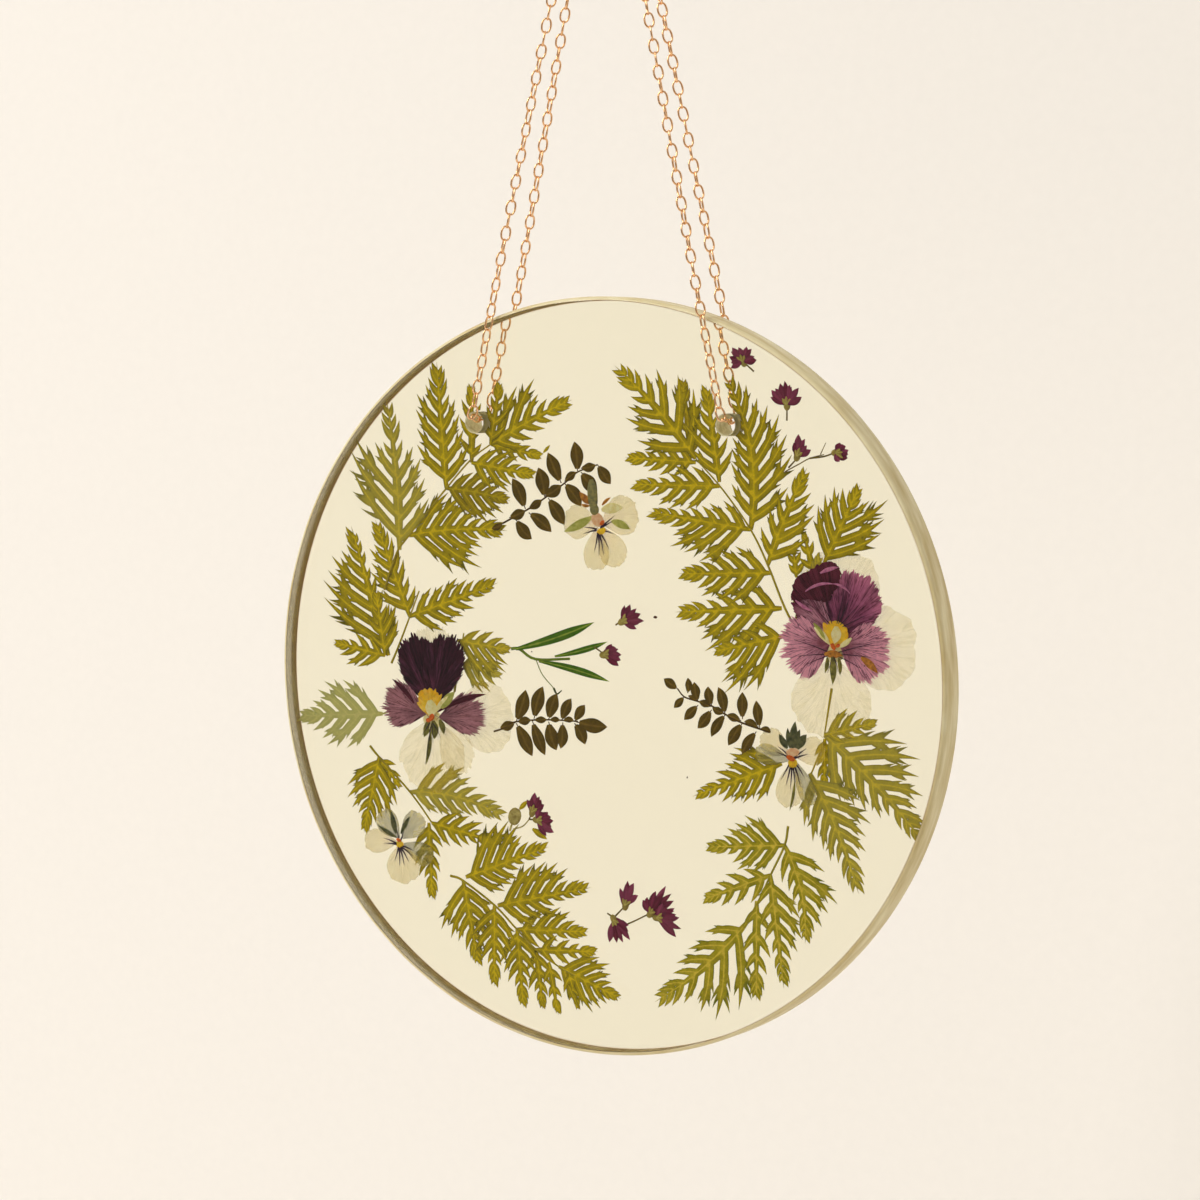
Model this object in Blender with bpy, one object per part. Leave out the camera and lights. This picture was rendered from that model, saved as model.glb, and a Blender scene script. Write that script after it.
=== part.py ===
"""A round cast-resin disc that hangs by two loops of fine chain from one ring.

Frame: metres, +Z up. The origin is the inner top of the ring, where a hook or a nail
carries it. The disc hangs below in the XZ plane, with its front facing -Y.
"""

from math import cos, pi, sin, sqrt

import bmesh
import bpy
from mathutils import Matrix, Vector

# Driving dimensions.
DISC_DIAMETER = 0.200
DISC_THICKNESS = 0.0085
RIM_ROUNDING = 0.0010
HOLE_DIAMETER = 0.0058
HOLE_APART = 0.0756
HOLE_ABOVE_CENTRE = 0.0668
RING_DIAMETER = 0.0160
RING_WIRE = 0.0016
CHAIN_WIDTH = 0.0029
STRAND_MEETING_HEIGHT = 0.2421  # where the sloping strands would cross, above the disc's centre
GAP = 0.0003

# How far the chain's four ends stand from the ring's middle.
CHAIN_END_ASIDE = 0.00168
CHAIN_END_FORWARD = 0.0026

# Where a strand bends from its slant onto the disc's face.
BEND_ABOVE_RIM = 0.012
BEND_SHARE = 0.08

# Smoothness of the faceted solids.
DISC_SEGMENTS = 128
ROUNDING_STEPS = 4
HOLE_SEGMENTS = 32
RING_SEGMENTS = 48
RING_WIRE_SEGMENTS = 12
STRAND_POINTS = 26
HOLE_RUN_POINTS = 3

# Places that follow from the sizes.
DISC_RADIUS = DISC_DIAMETER / 2
CHAIN_RADIUS = CHAIN_WIDTH / 2
RING_MIDDLE_RADIUS = (RING_DIAMETER - RING_WIRE) / 2
RING_CENTRE_Z = -(RING_DIAMETER / 2 - RING_WIRE)
CHAIN_END_Z = RING_CENTRE_Z - RING_DIAMETER / 2 - GAP
HOLE_X = HOLE_APART / 2
STRAND_SLOPE = HOLE_X / (STRAND_MEETING_HEIGHT - HOLE_ABOVE_CENTRE)
MEETING_Z = CHAIN_END_Z + CHAIN_END_ASIDE / STRAND_SLOPE
DISC_CENTRE_Z = MEETING_Z - STRAND_MEETING_HEIGHT
HOLE_Z = DISC_CENTRE_Z + HOLE_ABOVE_CENTRE
STRAND_Y = DISC_THICKNESS / 2 + GAP + CHAIN_RADIUS
HOLE_RUN_Z = HOLE_Z + HOLE_DIAMETER / 2 - CHAIN_RADIUS - GAP
BEND_Z = DISC_CENTRE_Z + sqrt(DISC_RADIUS**2 - HOLE_X**2) + BEND_ABOVE_RIM


def clear_scene():
    for thing in list(bpy.data.objects):
        bpy.data.objects.remove(thing, do_unlink=True)


def material(name, colour, roughness, metallic=0.0, transmission=0.0):
    made = bpy.data.materials.new(name)
    made.use_nodes = True
    shader = made.node_tree.nodes["Principled BSDF"]
    shader.inputs["Base Color"].default_value = (*colour, 1.0)
    shader.inputs["Roughness"].default_value = roughness
    shader.inputs["Metallic"].default_value = metallic
    shader.inputs["Transmission Weight"].default_value = transmission
    made.diffuse_color = (*colour, 1.0)
    return made


def mesh_object(name, mesh_maker, finish):
    """An object whose mesh is closed and faces out."""
    shape = bmesh.new()
    mesh_maker(shape)
    bmesh.ops.recalc_face_normals(shape, faces=shape.faces)
    mesh = bpy.data.meshes.new(name)
    shape.to_mesh(mesh)
    shape.free()
    mesh.shade_smooth()
    mesh.set_sharp_from_angle(angle=pi / 6)
    mesh.materials.append(finish)
    made = bpy.data.objects.new(name, mesh)
    bpy.context.collection.objects.link(made)
    return made


def disc_profile():
    """Radius and depth of the disc's edge from the front face to the back face."""
    corner = DISC_RADIUS - RIM_ROUNDING
    side = DISC_THICKNESS / 2 - RIM_ROUNDING
    turns = [pi / 2 * step / ROUNDING_STEPS for step in range(ROUNDING_STEPS + 1)]
    front = [(corner + RIM_ROUNDING * sin(a), -side - RIM_ROUNDING * cos(a)) for a in turns]
    return front + [(radius, -depth) for radius, depth in reversed(front)]


def turned_disc(shape):
    """The edge's profile turned about the disc's axis, closed by two flat faces."""
    rings = []
    for radius, depth in disc_profile():
        ring = []
        for step in range(DISC_SEGMENTS):
            angle = 2 * pi * step / DISC_SEGMENTS
            ring.append(shape.verts.new((radius * cos(angle), depth, radius * sin(angle))))
        rings.append(ring)
    for near, far in zip(rings, rings[1:]):
        for step in range(DISC_SEGMENTS):
            following = (step + 1) % DISC_SEGMENTS
            shape.faces.new((near[step], near[following], far[following], far[step]))
    shape.faces.new(rings[0])
    shape.faces.new(rings[-1])


def drill(shape):
    """A rod along Y, longer than the disc is thick."""
    bmesh.ops.create_cone(
        shape,
        cap_ends=True,
        segments=HOLE_SEGMENTS,
        radius1=HOLE_DIAMETER / 2,
        radius2=HOLE_DIAMETER / 2,
        depth=DISC_THICKNESS * 3,
        matrix=Matrix.Rotation(pi / 2, 4, "X"),
    )


def make_disc(resin):
    disc = mesh_object("resin_disc", turned_disc, resin)
    disc.location = (0, 0, DISC_CENTRE_Z)
    for side, word in ((-1, "left"), (1, "right")):
        cutter = mesh_object(f"{word}_hole_cutter", drill, resin)
        cutter.location = (side * HOLE_X, 0, HOLE_Z)
        cutter.hide_render = True
        cutter.display_type = "WIRE"
        cut = disc.modifiers.new(f"{word} hole", "BOOLEAN")
        cut.operation = "DIFFERENCE"
        cut.solver = "EXACT"
        cut.object = cutter
    return disc


def torus(shape):
    """A round wire bent into a ring in the YZ plane."""
    rings = []
    for step in range(RING_SEGMENTS):
        around = 2 * pi * step / RING_SEGMENTS
        ring = []
        for turn in range(RING_WIRE_SEGMENTS):
            across = 2 * pi * turn / RING_WIRE_SEGMENTS
            reach = RING_MIDDLE_RADIUS + RING_WIRE / 2 * cos(across)
            place = (RING_WIRE / 2 * sin(across), reach * cos(around), reach * sin(around))
            ring.append(shape.verts.new(place))
        rings.append(ring)
    for step, ring in enumerate(rings):
        next_ring = rings[(step + 1) % RING_SEGMENTS]
        for turn in range(RING_WIRE_SEGMENTS):
            after = (turn + 1) % RING_WIRE_SEGMENTS
            shape.faces.new((ring[turn], ring[after], next_ring[after], next_ring[turn]))


def make_ring(gold):
    ring = mesh_object("hanging_ring", torus, gold)
    ring.location = (0, 0, RING_CENTRE_Z)
    return ring


def strand_point(side, face, height):
    """The middle of a strand at a height: taut from the ring's side to just over the rim,
    then flat against the disc, with a short eased bend between the two."""
    across = side * (MEETING_Z - height) * STRAND_SLOPE
    fall = (CHAIN_END_Z - height) / (CHAIN_END_Z - BEND_Z)
    if fall < 1 - BEND_SHARE:
        reach = fall
    elif fall < 1 + BEND_SHARE:
        reach = fall - (fall - 1 + BEND_SHARE) ** 2 / (4 * BEND_SHARE)
    else:
        reach = 1.0
    forward = CHAIN_END_FORWARD + (STRAND_Y - CHAIN_END_FORWARD) * reach
    return Vector((across, face * forward, height))


def strand_points(side, face):
    """From under the ring, over the disc's top edge, down to the foot of the hole's run."""
    fall = CHAIN_END_Z - (HOLE_RUN_Z - CHAIN_RADIUS)
    heights = [CHAIN_END_Z - fall * n / (STRAND_POINTS - 1) for n in range(STRAND_POINTS)]
    return [strand_point(side, face, height) for height in heights]


def chain_tube(name, points, finish):
    curve = bpy.data.curves.new(name, "CURVE")
    curve.dimensions = "3D"
    curve.bevel_depth = CHAIN_RADIUS
    curve.bevel_resolution = 2
    curve.use_fill_caps = True
    spline = curve.splines.new("POLY")
    spline.points.add(len(points) - 1)
    for spot, point in zip(spline.points, points):
        spot.co = (*point, 1.0)
    curve.materials.append(finish)
    made = bpy.data.objects.new(name, curve)
    bpy.context.collection.objects.link(made)
    return made


def make_chains(gold):
    for side, word in ((-1, "left"), (1, "right")):
        for face, place in ((-1, "front"), (1, "back")):
            chain_tube(f"{word}_chain_{place}", strand_points(side, face), gold)
        reach = STRAND_Y - CHAIN_RADIUS - GAP
        start = Vector((side * HOLE_X, -reach, HOLE_RUN_Z))
        end = Vector((side * HOLE_X, reach, HOLE_RUN_Z))
        run = [start.lerp(end, n / (HOLE_RUN_POINTS - 1)) for n in range(HOLE_RUN_POINTS)]
        chain_tube(f"{word}_chain_in_hole", run, gold)


def main():
    clear_scene()
    resin = material("clear resin", (0.93, 0.92, 0.78), 0.05, transmission=1.0)
    gold = material("gold plate", (0.86, 0.60, 0.32), 0.25, metallic=1.0)
    make_disc(resin)
    make_ring(gold)
    make_chains(gold)


main()
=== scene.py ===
"""The looks of a round cast-resin disc with pressed ferns, violas and small flowers sealed in
it, hung from a ring by two loops of fine chain.

The specimens are laid out in millimetres on the disc's plane, to the right of and above its
centre as seen from the front, each with its depth under the front face.
"""

from collections import namedtuple
from math import atan2, cos, hypot, pi, radians, sin, sqrt
from random import Random

import bmesh
import bpy
import numpy as np
from bpy.props import FloatProperty, FloatVectorProperty, PointerProperty
from mathutils import Matrix, Quaternion, Vector, noise
from mathutils.geometry import delaunay_2d_cdt


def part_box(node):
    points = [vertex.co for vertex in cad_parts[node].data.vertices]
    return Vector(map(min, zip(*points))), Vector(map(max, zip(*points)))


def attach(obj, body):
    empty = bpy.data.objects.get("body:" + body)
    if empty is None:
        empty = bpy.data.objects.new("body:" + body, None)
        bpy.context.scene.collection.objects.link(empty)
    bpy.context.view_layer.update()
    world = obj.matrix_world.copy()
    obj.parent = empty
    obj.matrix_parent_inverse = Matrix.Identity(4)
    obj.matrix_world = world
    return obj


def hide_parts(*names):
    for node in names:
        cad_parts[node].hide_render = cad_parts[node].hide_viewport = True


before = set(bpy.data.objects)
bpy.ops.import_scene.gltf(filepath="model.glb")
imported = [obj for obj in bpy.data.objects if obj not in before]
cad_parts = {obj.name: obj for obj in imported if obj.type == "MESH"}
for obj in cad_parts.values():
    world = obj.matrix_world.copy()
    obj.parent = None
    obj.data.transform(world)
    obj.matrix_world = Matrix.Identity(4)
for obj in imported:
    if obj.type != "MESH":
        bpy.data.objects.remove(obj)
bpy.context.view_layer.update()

bl_info = {
    "name": "Pressed Flower Disc",
    "version": (1, 0, 0),
    "blender": (4, 5, 0),
    "location": "3D View > Sidebar > Flower Disc",
    "description": "Pressed leaves and flowers sealed in a clear disc on fine chains",
    "category": "Add Mesh",
}

MM = 0.001

# The disc and its holes, from the frame. The chain crosses a hole a little above its middle.
DISC_LOW, DISC_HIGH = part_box("resin_disc")
RUN_LOW, RUN_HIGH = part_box("right_chain_in_hole")
DISC_CENTRE = (DISC_LOW + DISC_HIGH) / 2
DISC_RADIUS = (DISC_HIGH.x - DISC_LOW.x) / 2
DISC_THICKNESS = DISC_HIGH.y - DISC_LOW.y
HOLE_X = (RUN_LOW.x + RUN_HIGH.x) / 2
HOLE_RUN_Z = (RUN_LOW.z + RUN_HIGH.z) / 2
HOLE_DIAMETER = 0.0058
HOLE_RADIUS = HOLE_DIAMETER / 2
RUN_ABOVE_HOLE = 0.00115
HOLE_Z = HOLE_RUN_Z - RUN_ABOVE_HOLE

# The chain's route, as the frame's plain strands run.
CHAIN_END_ASIDE = 0.00168
CHAIN_END_FORWARD = 0.0026
CHAIN_END_Z = -0.0147
STRAND_SLOPE = 0.21563
MEETING_Z = CHAIN_END_Z + CHAIN_END_ASIDE / STRAND_SLOPE
STRAND_Y = 0.0060
BEND_ABOVE_RIM = 0.012
BEND_Z = DISC_CENTRE.z + sqrt(DISC_RADIUS**2 - HOLE_X**2) + BEND_ABOVE_RIM
BEND_SHARE = 0.08

# The end links in the ring, which stand clear of the other chain's, and where the slant begins.
END_LINK_ASIDE = 0.0006
END_LINK_STAGGER = 0.0009
END_LINK_Z = -0.0143
SLANT_TOP_Z = -0.0200

# The turn into a hole, and how many points a strand and that turn have.
HOLE_TURN = 0.0018
STRAND_POINTS = 45
TURN_POINTS = 5

# How finely the round shapes are cut.
RIM_SEGMENTS = 256
BORE_SEGMENTS = 48
ROUNDING_STEPS = 8
LINK_STEPS = 24

# How rough the resin is on its hole walls and on its rim, as a share.
WALL_FROSTING = 1.0
RIM_FROSTING = 0.4


def srgb(red, green, blue):
    """A screen colour, 0 to 255 each, as Blender's linear numbers."""
    linear = []
    for level in (red, green, blue):
        share = level / 255
        linear.append(share / 12.92 if share <= 0.04045 else ((share + 0.055) / 1.055) ** 2.4)
    return tuple(linear)


# ---------------------------------------------------------------- settings


def length_setting(name, description, default, high=1.0):
    return FloatProperty(
        name=name, description=description, default=default, min=0.0, max=high, precision=5,
        subtype="DISTANCE", unit="LENGTH",
    )


def colour_setting(name, description, default):
    return FloatVectorProperty(
        name=name, description=description, default=default, min=0.0, max=1.0, size=3,
        subtype="COLOR",
    )


class FLOWERDISC_PG_resin(bpy.types.PropertyGroup):
    tint: colour_setting("Tint", "What the resin lets through", (0.96, 0.86, 0.30))
    density: FloatProperty(
        name="Density", description="How fast light fades in the resin, per metre", default=10.0,
        min=0.0,
    )
    rounding: length_setting("Rim rounding", "Radius of the polished rim's edges", 0.0010)


class FLOWERDISC_PG_metal(bpy.types.PropertyGroup):
    gold: colour_setting("Gold", "Colour of the plated chain", srgb(242, 190, 138))
    link_length: length_setting("Link length", "Outer length of one chain link", 0.0043)
    link_width: length_setting("Link width", "Outer width of one chain link", 0.0029)
    link_wire: length_setting("Link wire", "Thickness of a link's wire", 0.00055)


class FLOWERDISC_PG_leaves(bpy.types.PropertyGroup):
    vein: colour_setting("Vein", "Colour along a frond's veins", srgb(232, 206, 10))
    blade: colour_setting("Blade", "Colour of a frond's blade", srgb(184, 164, 4))
    edge: colour_setting("Edge", "Colour of a frond's lobe edges", srgb(106, 100, 4))
    grass: colour_setting("Fresh green", "Colour of the green blades", srgb(72, 118, 12))
    leaflet: colour_setting("Dark leaflet", "Colour of the oval leaflets", srgb(100, 80, 10))


class FLOWERDISC_PG_flowers(bpy.types.PropertyGroup):
    dark: colour_setting("Dark petal", "Colour of the darkest viola petals", srgb(48, 12, 28))
    plum: colour_setting("Plum petal", "Colour of the dark viola's side petals", srgb(186, 126, 144))
    mauve: colour_setting("Mauve petal", "Colour of the light viola's petals", srgb(236, 164, 194))
    cream: colour_setting("Cream petal", "Colour of the pale petals", srgb(255, 228, 84))
    yolk: colour_setting("Yellow eye", "Colour of the flower's eye", srgb(255, 214, 44))
    bud: colour_setting("Bud", "Colour of the small purple florets", srgb(108, 30, 60))


class FLOWERDISC_PG_stage(bpy.types.PropertyGroup):
    wall: colour_setting("Wall", "Colour of the wall and floor", srgb(244, 238, 229))
    wall_gap: length_setting("Wall gap", "From the disc's middle back to the wall", 0.35)
    view_distance: length_setting("View distance", "From the camera to the disc", 0.95, 10.0)


class FLOWERDISC_PG_settings(bpy.types.PropertyGroup):
    resin: PointerProperty(type=FLOWERDISC_PG_resin)
    metal: PointerProperty(type=FLOWERDISC_PG_metal)
    leaves: PointerProperty(type=FLOWERDISC_PG_leaves)
    flowers: PointerProperty(type=FLOWERDISC_PG_flowers)
    stage: PointerProperty(type=FLOWERDISC_PG_stage)


# ---------------------------------------------------------------- materials


def add(tree, kind, inputs=(), **settings):
    """A new shader node, with its settings, and its inputs set or linked."""
    node = tree.nodes.new("ShaderNode" + kind)
    for name, value in settings.items():
        setattr(node, name, value)
    for name, value in dict(inputs).items():
        if isinstance(value, bpy.types.NodeSocket):
            tree.links.new(value, node.inputs[name])
        else:
            node.inputs[name].default_value = value
    return node


def blank(name, inputs=()):
    """A new material, its tree and its shader, with the shader's plain values set."""
    made = bpy.data.materials.new(name)
    made.use_nodes = True
    shader = made.node_tree.nodes["Principled BSDF"]
    for socket, value in dict(inputs).items():
        shader.inputs[socket].default_value = value
    return made, made.node_tree, shader


def ramp(tree, factor, stops, smooth=False):
    """A colour ramp's output; each stop is a place and a colour or a grey level."""
    node = add(tree, "ValToRGB", {"Fac": factor})
    band = node.color_ramp
    if smooth:
        band.interpolation = "EASE"
    for number, (place, shade) in enumerate(stops):
        stop = band.elements[number] if number < 2 else band.elements.new(place)
        stop.position = place
        level = (shade, shade, shade) if isinstance(shade, (int, float)) else tuple(shade)
        stop.color = (*level, 1.0)
    return node.outputs["Color"]


def math(tree, operation, *values):
    return add(tree, "Math", dict(enumerate(values)), operation=operation).outputs[0]


def plus(tree, first, second):
    return math(tree, "ADD", first, second)


def times(tree, first, second):
    return math(tree, "MULTIPLY", first, second)


def blend(tree, factor, first, second, mode="MIX"):
    """Two colours mixed by a factor."""
    node = add(tree, "Mix", data_type="RGBA", blend_type=mode)
    for number, value in ((0, factor), (6, first), (7, second)):
        if isinstance(value, bpy.types.NodeSocket):
            tree.links.new(value, node.inputs[number])
        elif number == 0:
            node.inputs[number].default_value = value
        else:
            node.inputs[number].default_value = (*value, 1.0)
    return node.outputs[2]


def feed(node, sources):
    """Links a node's named inputs to other nodes' outputs."""
    for name, source in sources.items():
        node.id_data.links.new(source, node.inputs[name])


def bump(tree, shader, height, strength, distance):
    node = add(tree, "Bump", {"Height": height, "Strength": strength, "Distance": distance})
    feed(shader, {"Normal": node.outputs["Normal"]})


def object_noise(tree, scale, detail=3.0, roughness=0.55, stretch=(1, 1, 1)):
    place = add(tree, "TexCoord").outputs["Object"]
    moved = add(tree, "Mapping", {"Vector": place, "Scale": stretch}).outputs["Vector"]
    values = {"Vector": moved, "Scale": scale, "Detail": detail, "Roughness": roughness}
    return add(tree, "TexNoise", values).outputs["Fac"]


def map_parts(tree, name):
    """The two coordinates of a UV map."""
    place = add(tree, "UVMap", uv_map=name).outputs["UV"]
    split = add(tree, "SeparateXYZ", {"Vector": place})
    return split.outputs["X"], split.outputs["Y"]


def resin_material(name, resin):
    made, tree, shader = blank(name, {
        "Base Color": (0.99, 0.975, 0.86, 1.0), "IOR": 1.5, "Transmission Weight": 1.0,
    })
    finish, _ = map_parts(tree, "finish")
    grain = object_noise(tree, 900.0, 2.0)
    frosted = times(tree, finish, plus(tree, 0.45, times(tree, grain, 0.4)))
    smear = ramp(tree, object_noise(tree, 26.0, 2.0), [(0.5, 0.0), (0.8, 0.002)])
    feed(shader, {"Roughness": plus(tree, frosted, smear)})
    bump(tree, shader, object_noise(tree, 22.0, 0.0), 0.02, 0.001)
    fade = add(tree, "VolumeAbsorption", {"Color": (*resin.tint, 1.0), "Density": resin.density})
    feed(tree.nodes["Material Output"], {"Volume": fade.outputs["Volume"]})
    return made


def frost_material(name):
    """Resin gone milky where it was drilled."""
    made, tree, shader = blank(name, {"Roughness": 0.8, "Alpha": 0.85})
    cloud = object_noise(tree, 900.0, 3.0)
    feed(shader, {
        "Base Color": ramp(tree, cloud, [(0.3, srgb(240, 232, 178)), (0.7, srgb(255, 252, 222))]),
        "Alpha": ramp(tree, cloud, [(0.3, 0.7), (0.7, 0.95)]),
    })
    bump(tree, shader, cloud, 0.4, 0.0001)
    return made


def rim_material(name, low, high):
    """The disc's satin rim, where the cast resin was cut and rubbed down, between two alphas."""
    made, tree, shader = blank(name, {"Roughness": 0.4, "Specular IOR Level": 0.4, "Alpha": high})
    band = object_noise(tree, 60.0, 3.0, stretch=(1, 5, 1))
    feed(shader, {
        "Base Color": ramp(tree, band, [(0.3, srgb(238, 216, 152)), (0.7, srgb(255, 244, 200))]),
        "Alpha": ramp(tree, band, [(0.3, low), (0.7, high)]),
    })
    bump(tree, shader, object_noise(tree, 900.0, 2.0), 0.2, 0.0001)
    return made


def gold_material(name, gold):
    made, tree, shader = blank(name, {"Metallic": 1.0})
    wear = object_noise(tree, 700.0, 4.0)
    gold = Vector(gold)
    bright = gold.lerp(Vector((1, 0.9, 0.75)), 0.35)
    feed(shader, {
        "Base Color": ramp(tree, wear, [(0.25, gold * 0.72), (0.5, gold), (0.8, bright)]),
        "Roughness": ramp(tree, wear, [(0.2, 0.32), (0.8, 0.14)]),
    })
    bump(tree, shader, object_noise(tree, 1500.0, 2.0), 0.15, 0.0001)
    return made


def leaf_material(name, vein, blade, edge, pale, fleck=0.3):
    """A pressed leaf: paler veins, darker edges, and blotches where it has faded or dried."""
    made, tree, shader = blank(name, {"Specular IOR Level": 0.05})
    across, _ = map_parts(tree, "grain")
    faded, dried = map_parts(tree, "tone")
    vein, blade, edge, pale = Vector(vein), Vector(blade), Vector(edge), Vector(pale)
    wander = math(tree, "SUBTRACT", object_noise(tree, 500.0), 0.5)
    uneven = plus(tree, across, times(tree, wander, 0.3))
    stops = [(0.03, vein), (0.22, blade), (0.66, blade.lerp(edge, 0.15)), (1.0, edge)]
    ribs = ramp(tree, uneven, stops)
    blotch = ramp(tree, object_noise(tree, 260.0, 4.0), [(0.38, 0.0), (0.68, 1.0)], smooth=True)
    mottled = blend(tree, times(tree, blotch, fleck), ribs, vein.lerp(blade, 0.25))
    fine = ramp(tree, object_noise(tree, 1700.0, 3.0), [(0.3, 0.72), (0.7, 1.18)])
    grained = blend(tree, 0.55, mottled, fine, "MULTIPLY")
    bleached = blend(tree, faded, grained, pale)
    feed(shader, {
        "Base Color": blend(tree, times(tree, dried, 0.75), bleached, srgb(70, 44, 18)),
        "Roughness": ramp(tree, blotch, [(0.0, 0.62), (1.0, 0.48)]),
    })
    relief = plus(tree, times(tree, across, -0.3), object_noise(tree, 1400.0, 3.0))
    bump(tree, shader, relief, 0.35, 0.0002)
    return made


def petal_material(name, base, middle, edge, streak, vein, count, alpha, marks):
    """A pressed petal, coloured from its claw to its edge, with soft streaks and thin veins that
    fan out; marks are how strongly the streaks and the veins show."""
    made, tree, shader = blank(name, {"Specular IOR Level": 0.05, "Alpha": alpha})
    across, along = map_parts(tree, "grain")
    wander = times(tree, math(tree, "SUBTRACT", object_noise(tree, 320.0, 3.0), 0.5), 0.5)
    ground = ramp(tree, plus(tree, along, wander), [(0.12, base), (0.5, middle), (0.95, edge)])
    broad = fan_noise(tree, across, along, count * 0.4, 1.5)
    fine = fan_noise(tree, across, along, count * 1.3, 1.1)
    streaks = times(tree, ramp(tree, broad, [(0.44, 0.0), (0.6, 1.0)]), marks[0])
    streaked = blend(tree, streaks, ground, streak)
    off_line = math(tree, "ABSOLUTE", math(tree, "SUBTRACT", fine, 0.5))
    line = ramp(tree, off_line, [(0.004, 1.0), (0.04, 0.0)])
    where = ramp(tree, along, [(0.05, 0.5), (0.25, 1.0), (0.8, 0.9), (1.0, 0.5)])
    veined = blend(tree, times(tree, times(tree, line, where), marks[1]), streaked, vein)
    grit = ramp(tree, object_noise(tree, 1200.0, 4.0), [(0.3, 0.76), (0.72, 1.22)])
    feed(shader, {
        "Base Color": blend(tree, 0.55, veined, grit, "MULTIPLY"),
        "Roughness": ramp(tree, broad, [(0.2, 0.5), (0.8, 0.7)]),
    })
    if alpha < 1.0:
        cloud = times(tree, object_noise(tree, 300.0, 3.0), 0.12)
        ribbed = times(tree, line, 0.06)
        feed(shader, {"Alpha": plus(tree, plus(tree, alpha - 0.06, cloud), ribbed)})
    bump(tree, shader, plus(tree, broad, object_noise(tree, 700.0, 2.0)), 0.35, 0.0002)
    return made


def fan_noise(tree, across, along, count, length):
    """Noise drawn out along a petal, with about so many streaks across it."""
    place = add(tree, "CombineXYZ", {
        "X": times(tree, across, count), "Y": times(tree, along, length),
        "Z": object_noise(tree, 110.0, 2.0),
    }).outputs["Vector"]
    values = {"Vector": place, "Scale": 1.0, "Detail": 4.0, "Roughness": 0.55}
    return add(tree, "TexNoise", values).outputs["Fac"]


def plain_material(name, light, dark):
    """A small dry part, such as a stem, a sepal or a bud, mottled between two colours."""
    made, tree, shader = blank(name, {"Specular IOR Level": 0.1})
    cloud = object_noise(tree, 900.0, 4.0)
    feed(shader, {
        "Base Color": ramp(tree, cloud, [(0.3, dark), (0.7, light)]),
        "Roughness": ramp(tree, cloud, [(0.2, 0.7), (0.8, 0.5)]),
    })
    bump(tree, shader, cloud, 0.4, 0.0002)
    return made


def wall_material(name, shade):
    """Painted plaster."""
    made, tree, shader = blank(name, {"Roughness": 0.9, "Specular IOR Level": 0.1})
    rough = object_noise(tree, 240.0, 3.0)
    feed(shader, {"Base Color": ramp(tree, rough, [(0.3, shade * 0.985), (0.7, shade)])})
    bump(tree, shader, rough, 0.12, 0.0006)
    return made


def one_sided(made):
    """Only the front of each face shows."""
    tree = made.node_tree
    shader = tree.nodes["Principled BSDF"]
    clear = add(tree, "BsdfTransparent")
    behind = add(tree, "NewGeometry").outputs["Backfacing"]
    both = add(tree, "MixShader", {0: behind, 1: shader.outputs["BSDF"], 2: clear.outputs["BSDF"]})
    feed(tree.nodes["Material Output"], {"Surface": both.outputs["Shader"]})
    return made


# ---------------------------------------------------------------- meshes


class Body:
    """A mesh being gathered: points, faces and two marks per point for the materials."""

    def __init__(self):
        self.points = []
        self.faces = []
        self.grain = []
        self.tone = []

    def add(self, points, faces, grain=None, tone=(0.0, 0.0)):
        start = len(self.points)
        self.points += points
        self.faces += [tuple(start + corner for corner in face) for face in faces]
        self.grain += grain or [(0.5, 0.5)] * len(points)
        self.tone += [tone] * len(points)

    def piece(self, name, material, slot=None, smooth_angle=50):
        """The finished piece, which rides with the disc."""
        mesh = bpy.data.meshes.new(name)
        mesh.from_pydata(self.points, [], self.faces)
        for title, marks in (("grain", self.grain), ("tone", self.tone)):
            layer = mesh.uv_layers.new(name=title)
            corners = np.empty(len(mesh.loops), np.int32)
            mesh.loops.foreach_get("vertex_index", corners)
            layer.data.foreach_set("uv", np.array(marks, np.float32)[corners].ravel())
        mesh.shade_smooth()
        mesh.set_sharp_from_angle(angle=radians(smooth_angle))
        mesh.materials.append(material)
        made = bpy.data.objects.new(name, mesh)
        bpy.context.scene.collection.objects.link(made)
        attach(made, "root")
        return made


def at(x, z, depth):
    """A place in the disc, from millimetres on its plane and under its front face."""
    return Vector((x * MM, DISC_LOW.y + depth * MM, DISC_CENTRE.z + z * MM))


def sweep(body, path, radii, sides=8, closed=False, grain=None, tone=(0.0, 0.0)):
    """A round rod along points in space, with pointed or flat ends as its radii say."""
    count = len(path)
    points, faces = [], []
    across = None
    for n, spot in enumerate(path):
        if closed:
            ahead, behind = path[(n + 1) % count], path[n - 1]
        else:
            ahead, behind = path[min(n + 1, count - 1)], path[max(n - 1, 0)]
        way = (ahead - behind).normalized()
        if across is None:
            across = way.orthogonal()
        across = (across - way * across.dot(way)).normalized()
        up = way.cross(across)
        radius = radii[n] if isinstance(radii, (list, tuple)) else radii
        for turn in range(sides):
            angle = 2 * pi * turn / sides
            points.append(spot + (across * cos(angle) + up * sin(angle)) * radius)
    for n in range(count if closed else count - 1):
        for turn in range(sides):
            after = (turn + 1) % sides
            near, far = n * sides, (n + 1) % count * sides
            faces.append((near + turn, near + after, far + after, far + turn))
    if not closed:
        faces.append(tuple(range(sides))[::-1])
        faces.append(tuple(range((count - 1) * sides, count * sides)))
    body.add(points, faces, [grain or (0.3, 0.5)] * len(points), tone)


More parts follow.
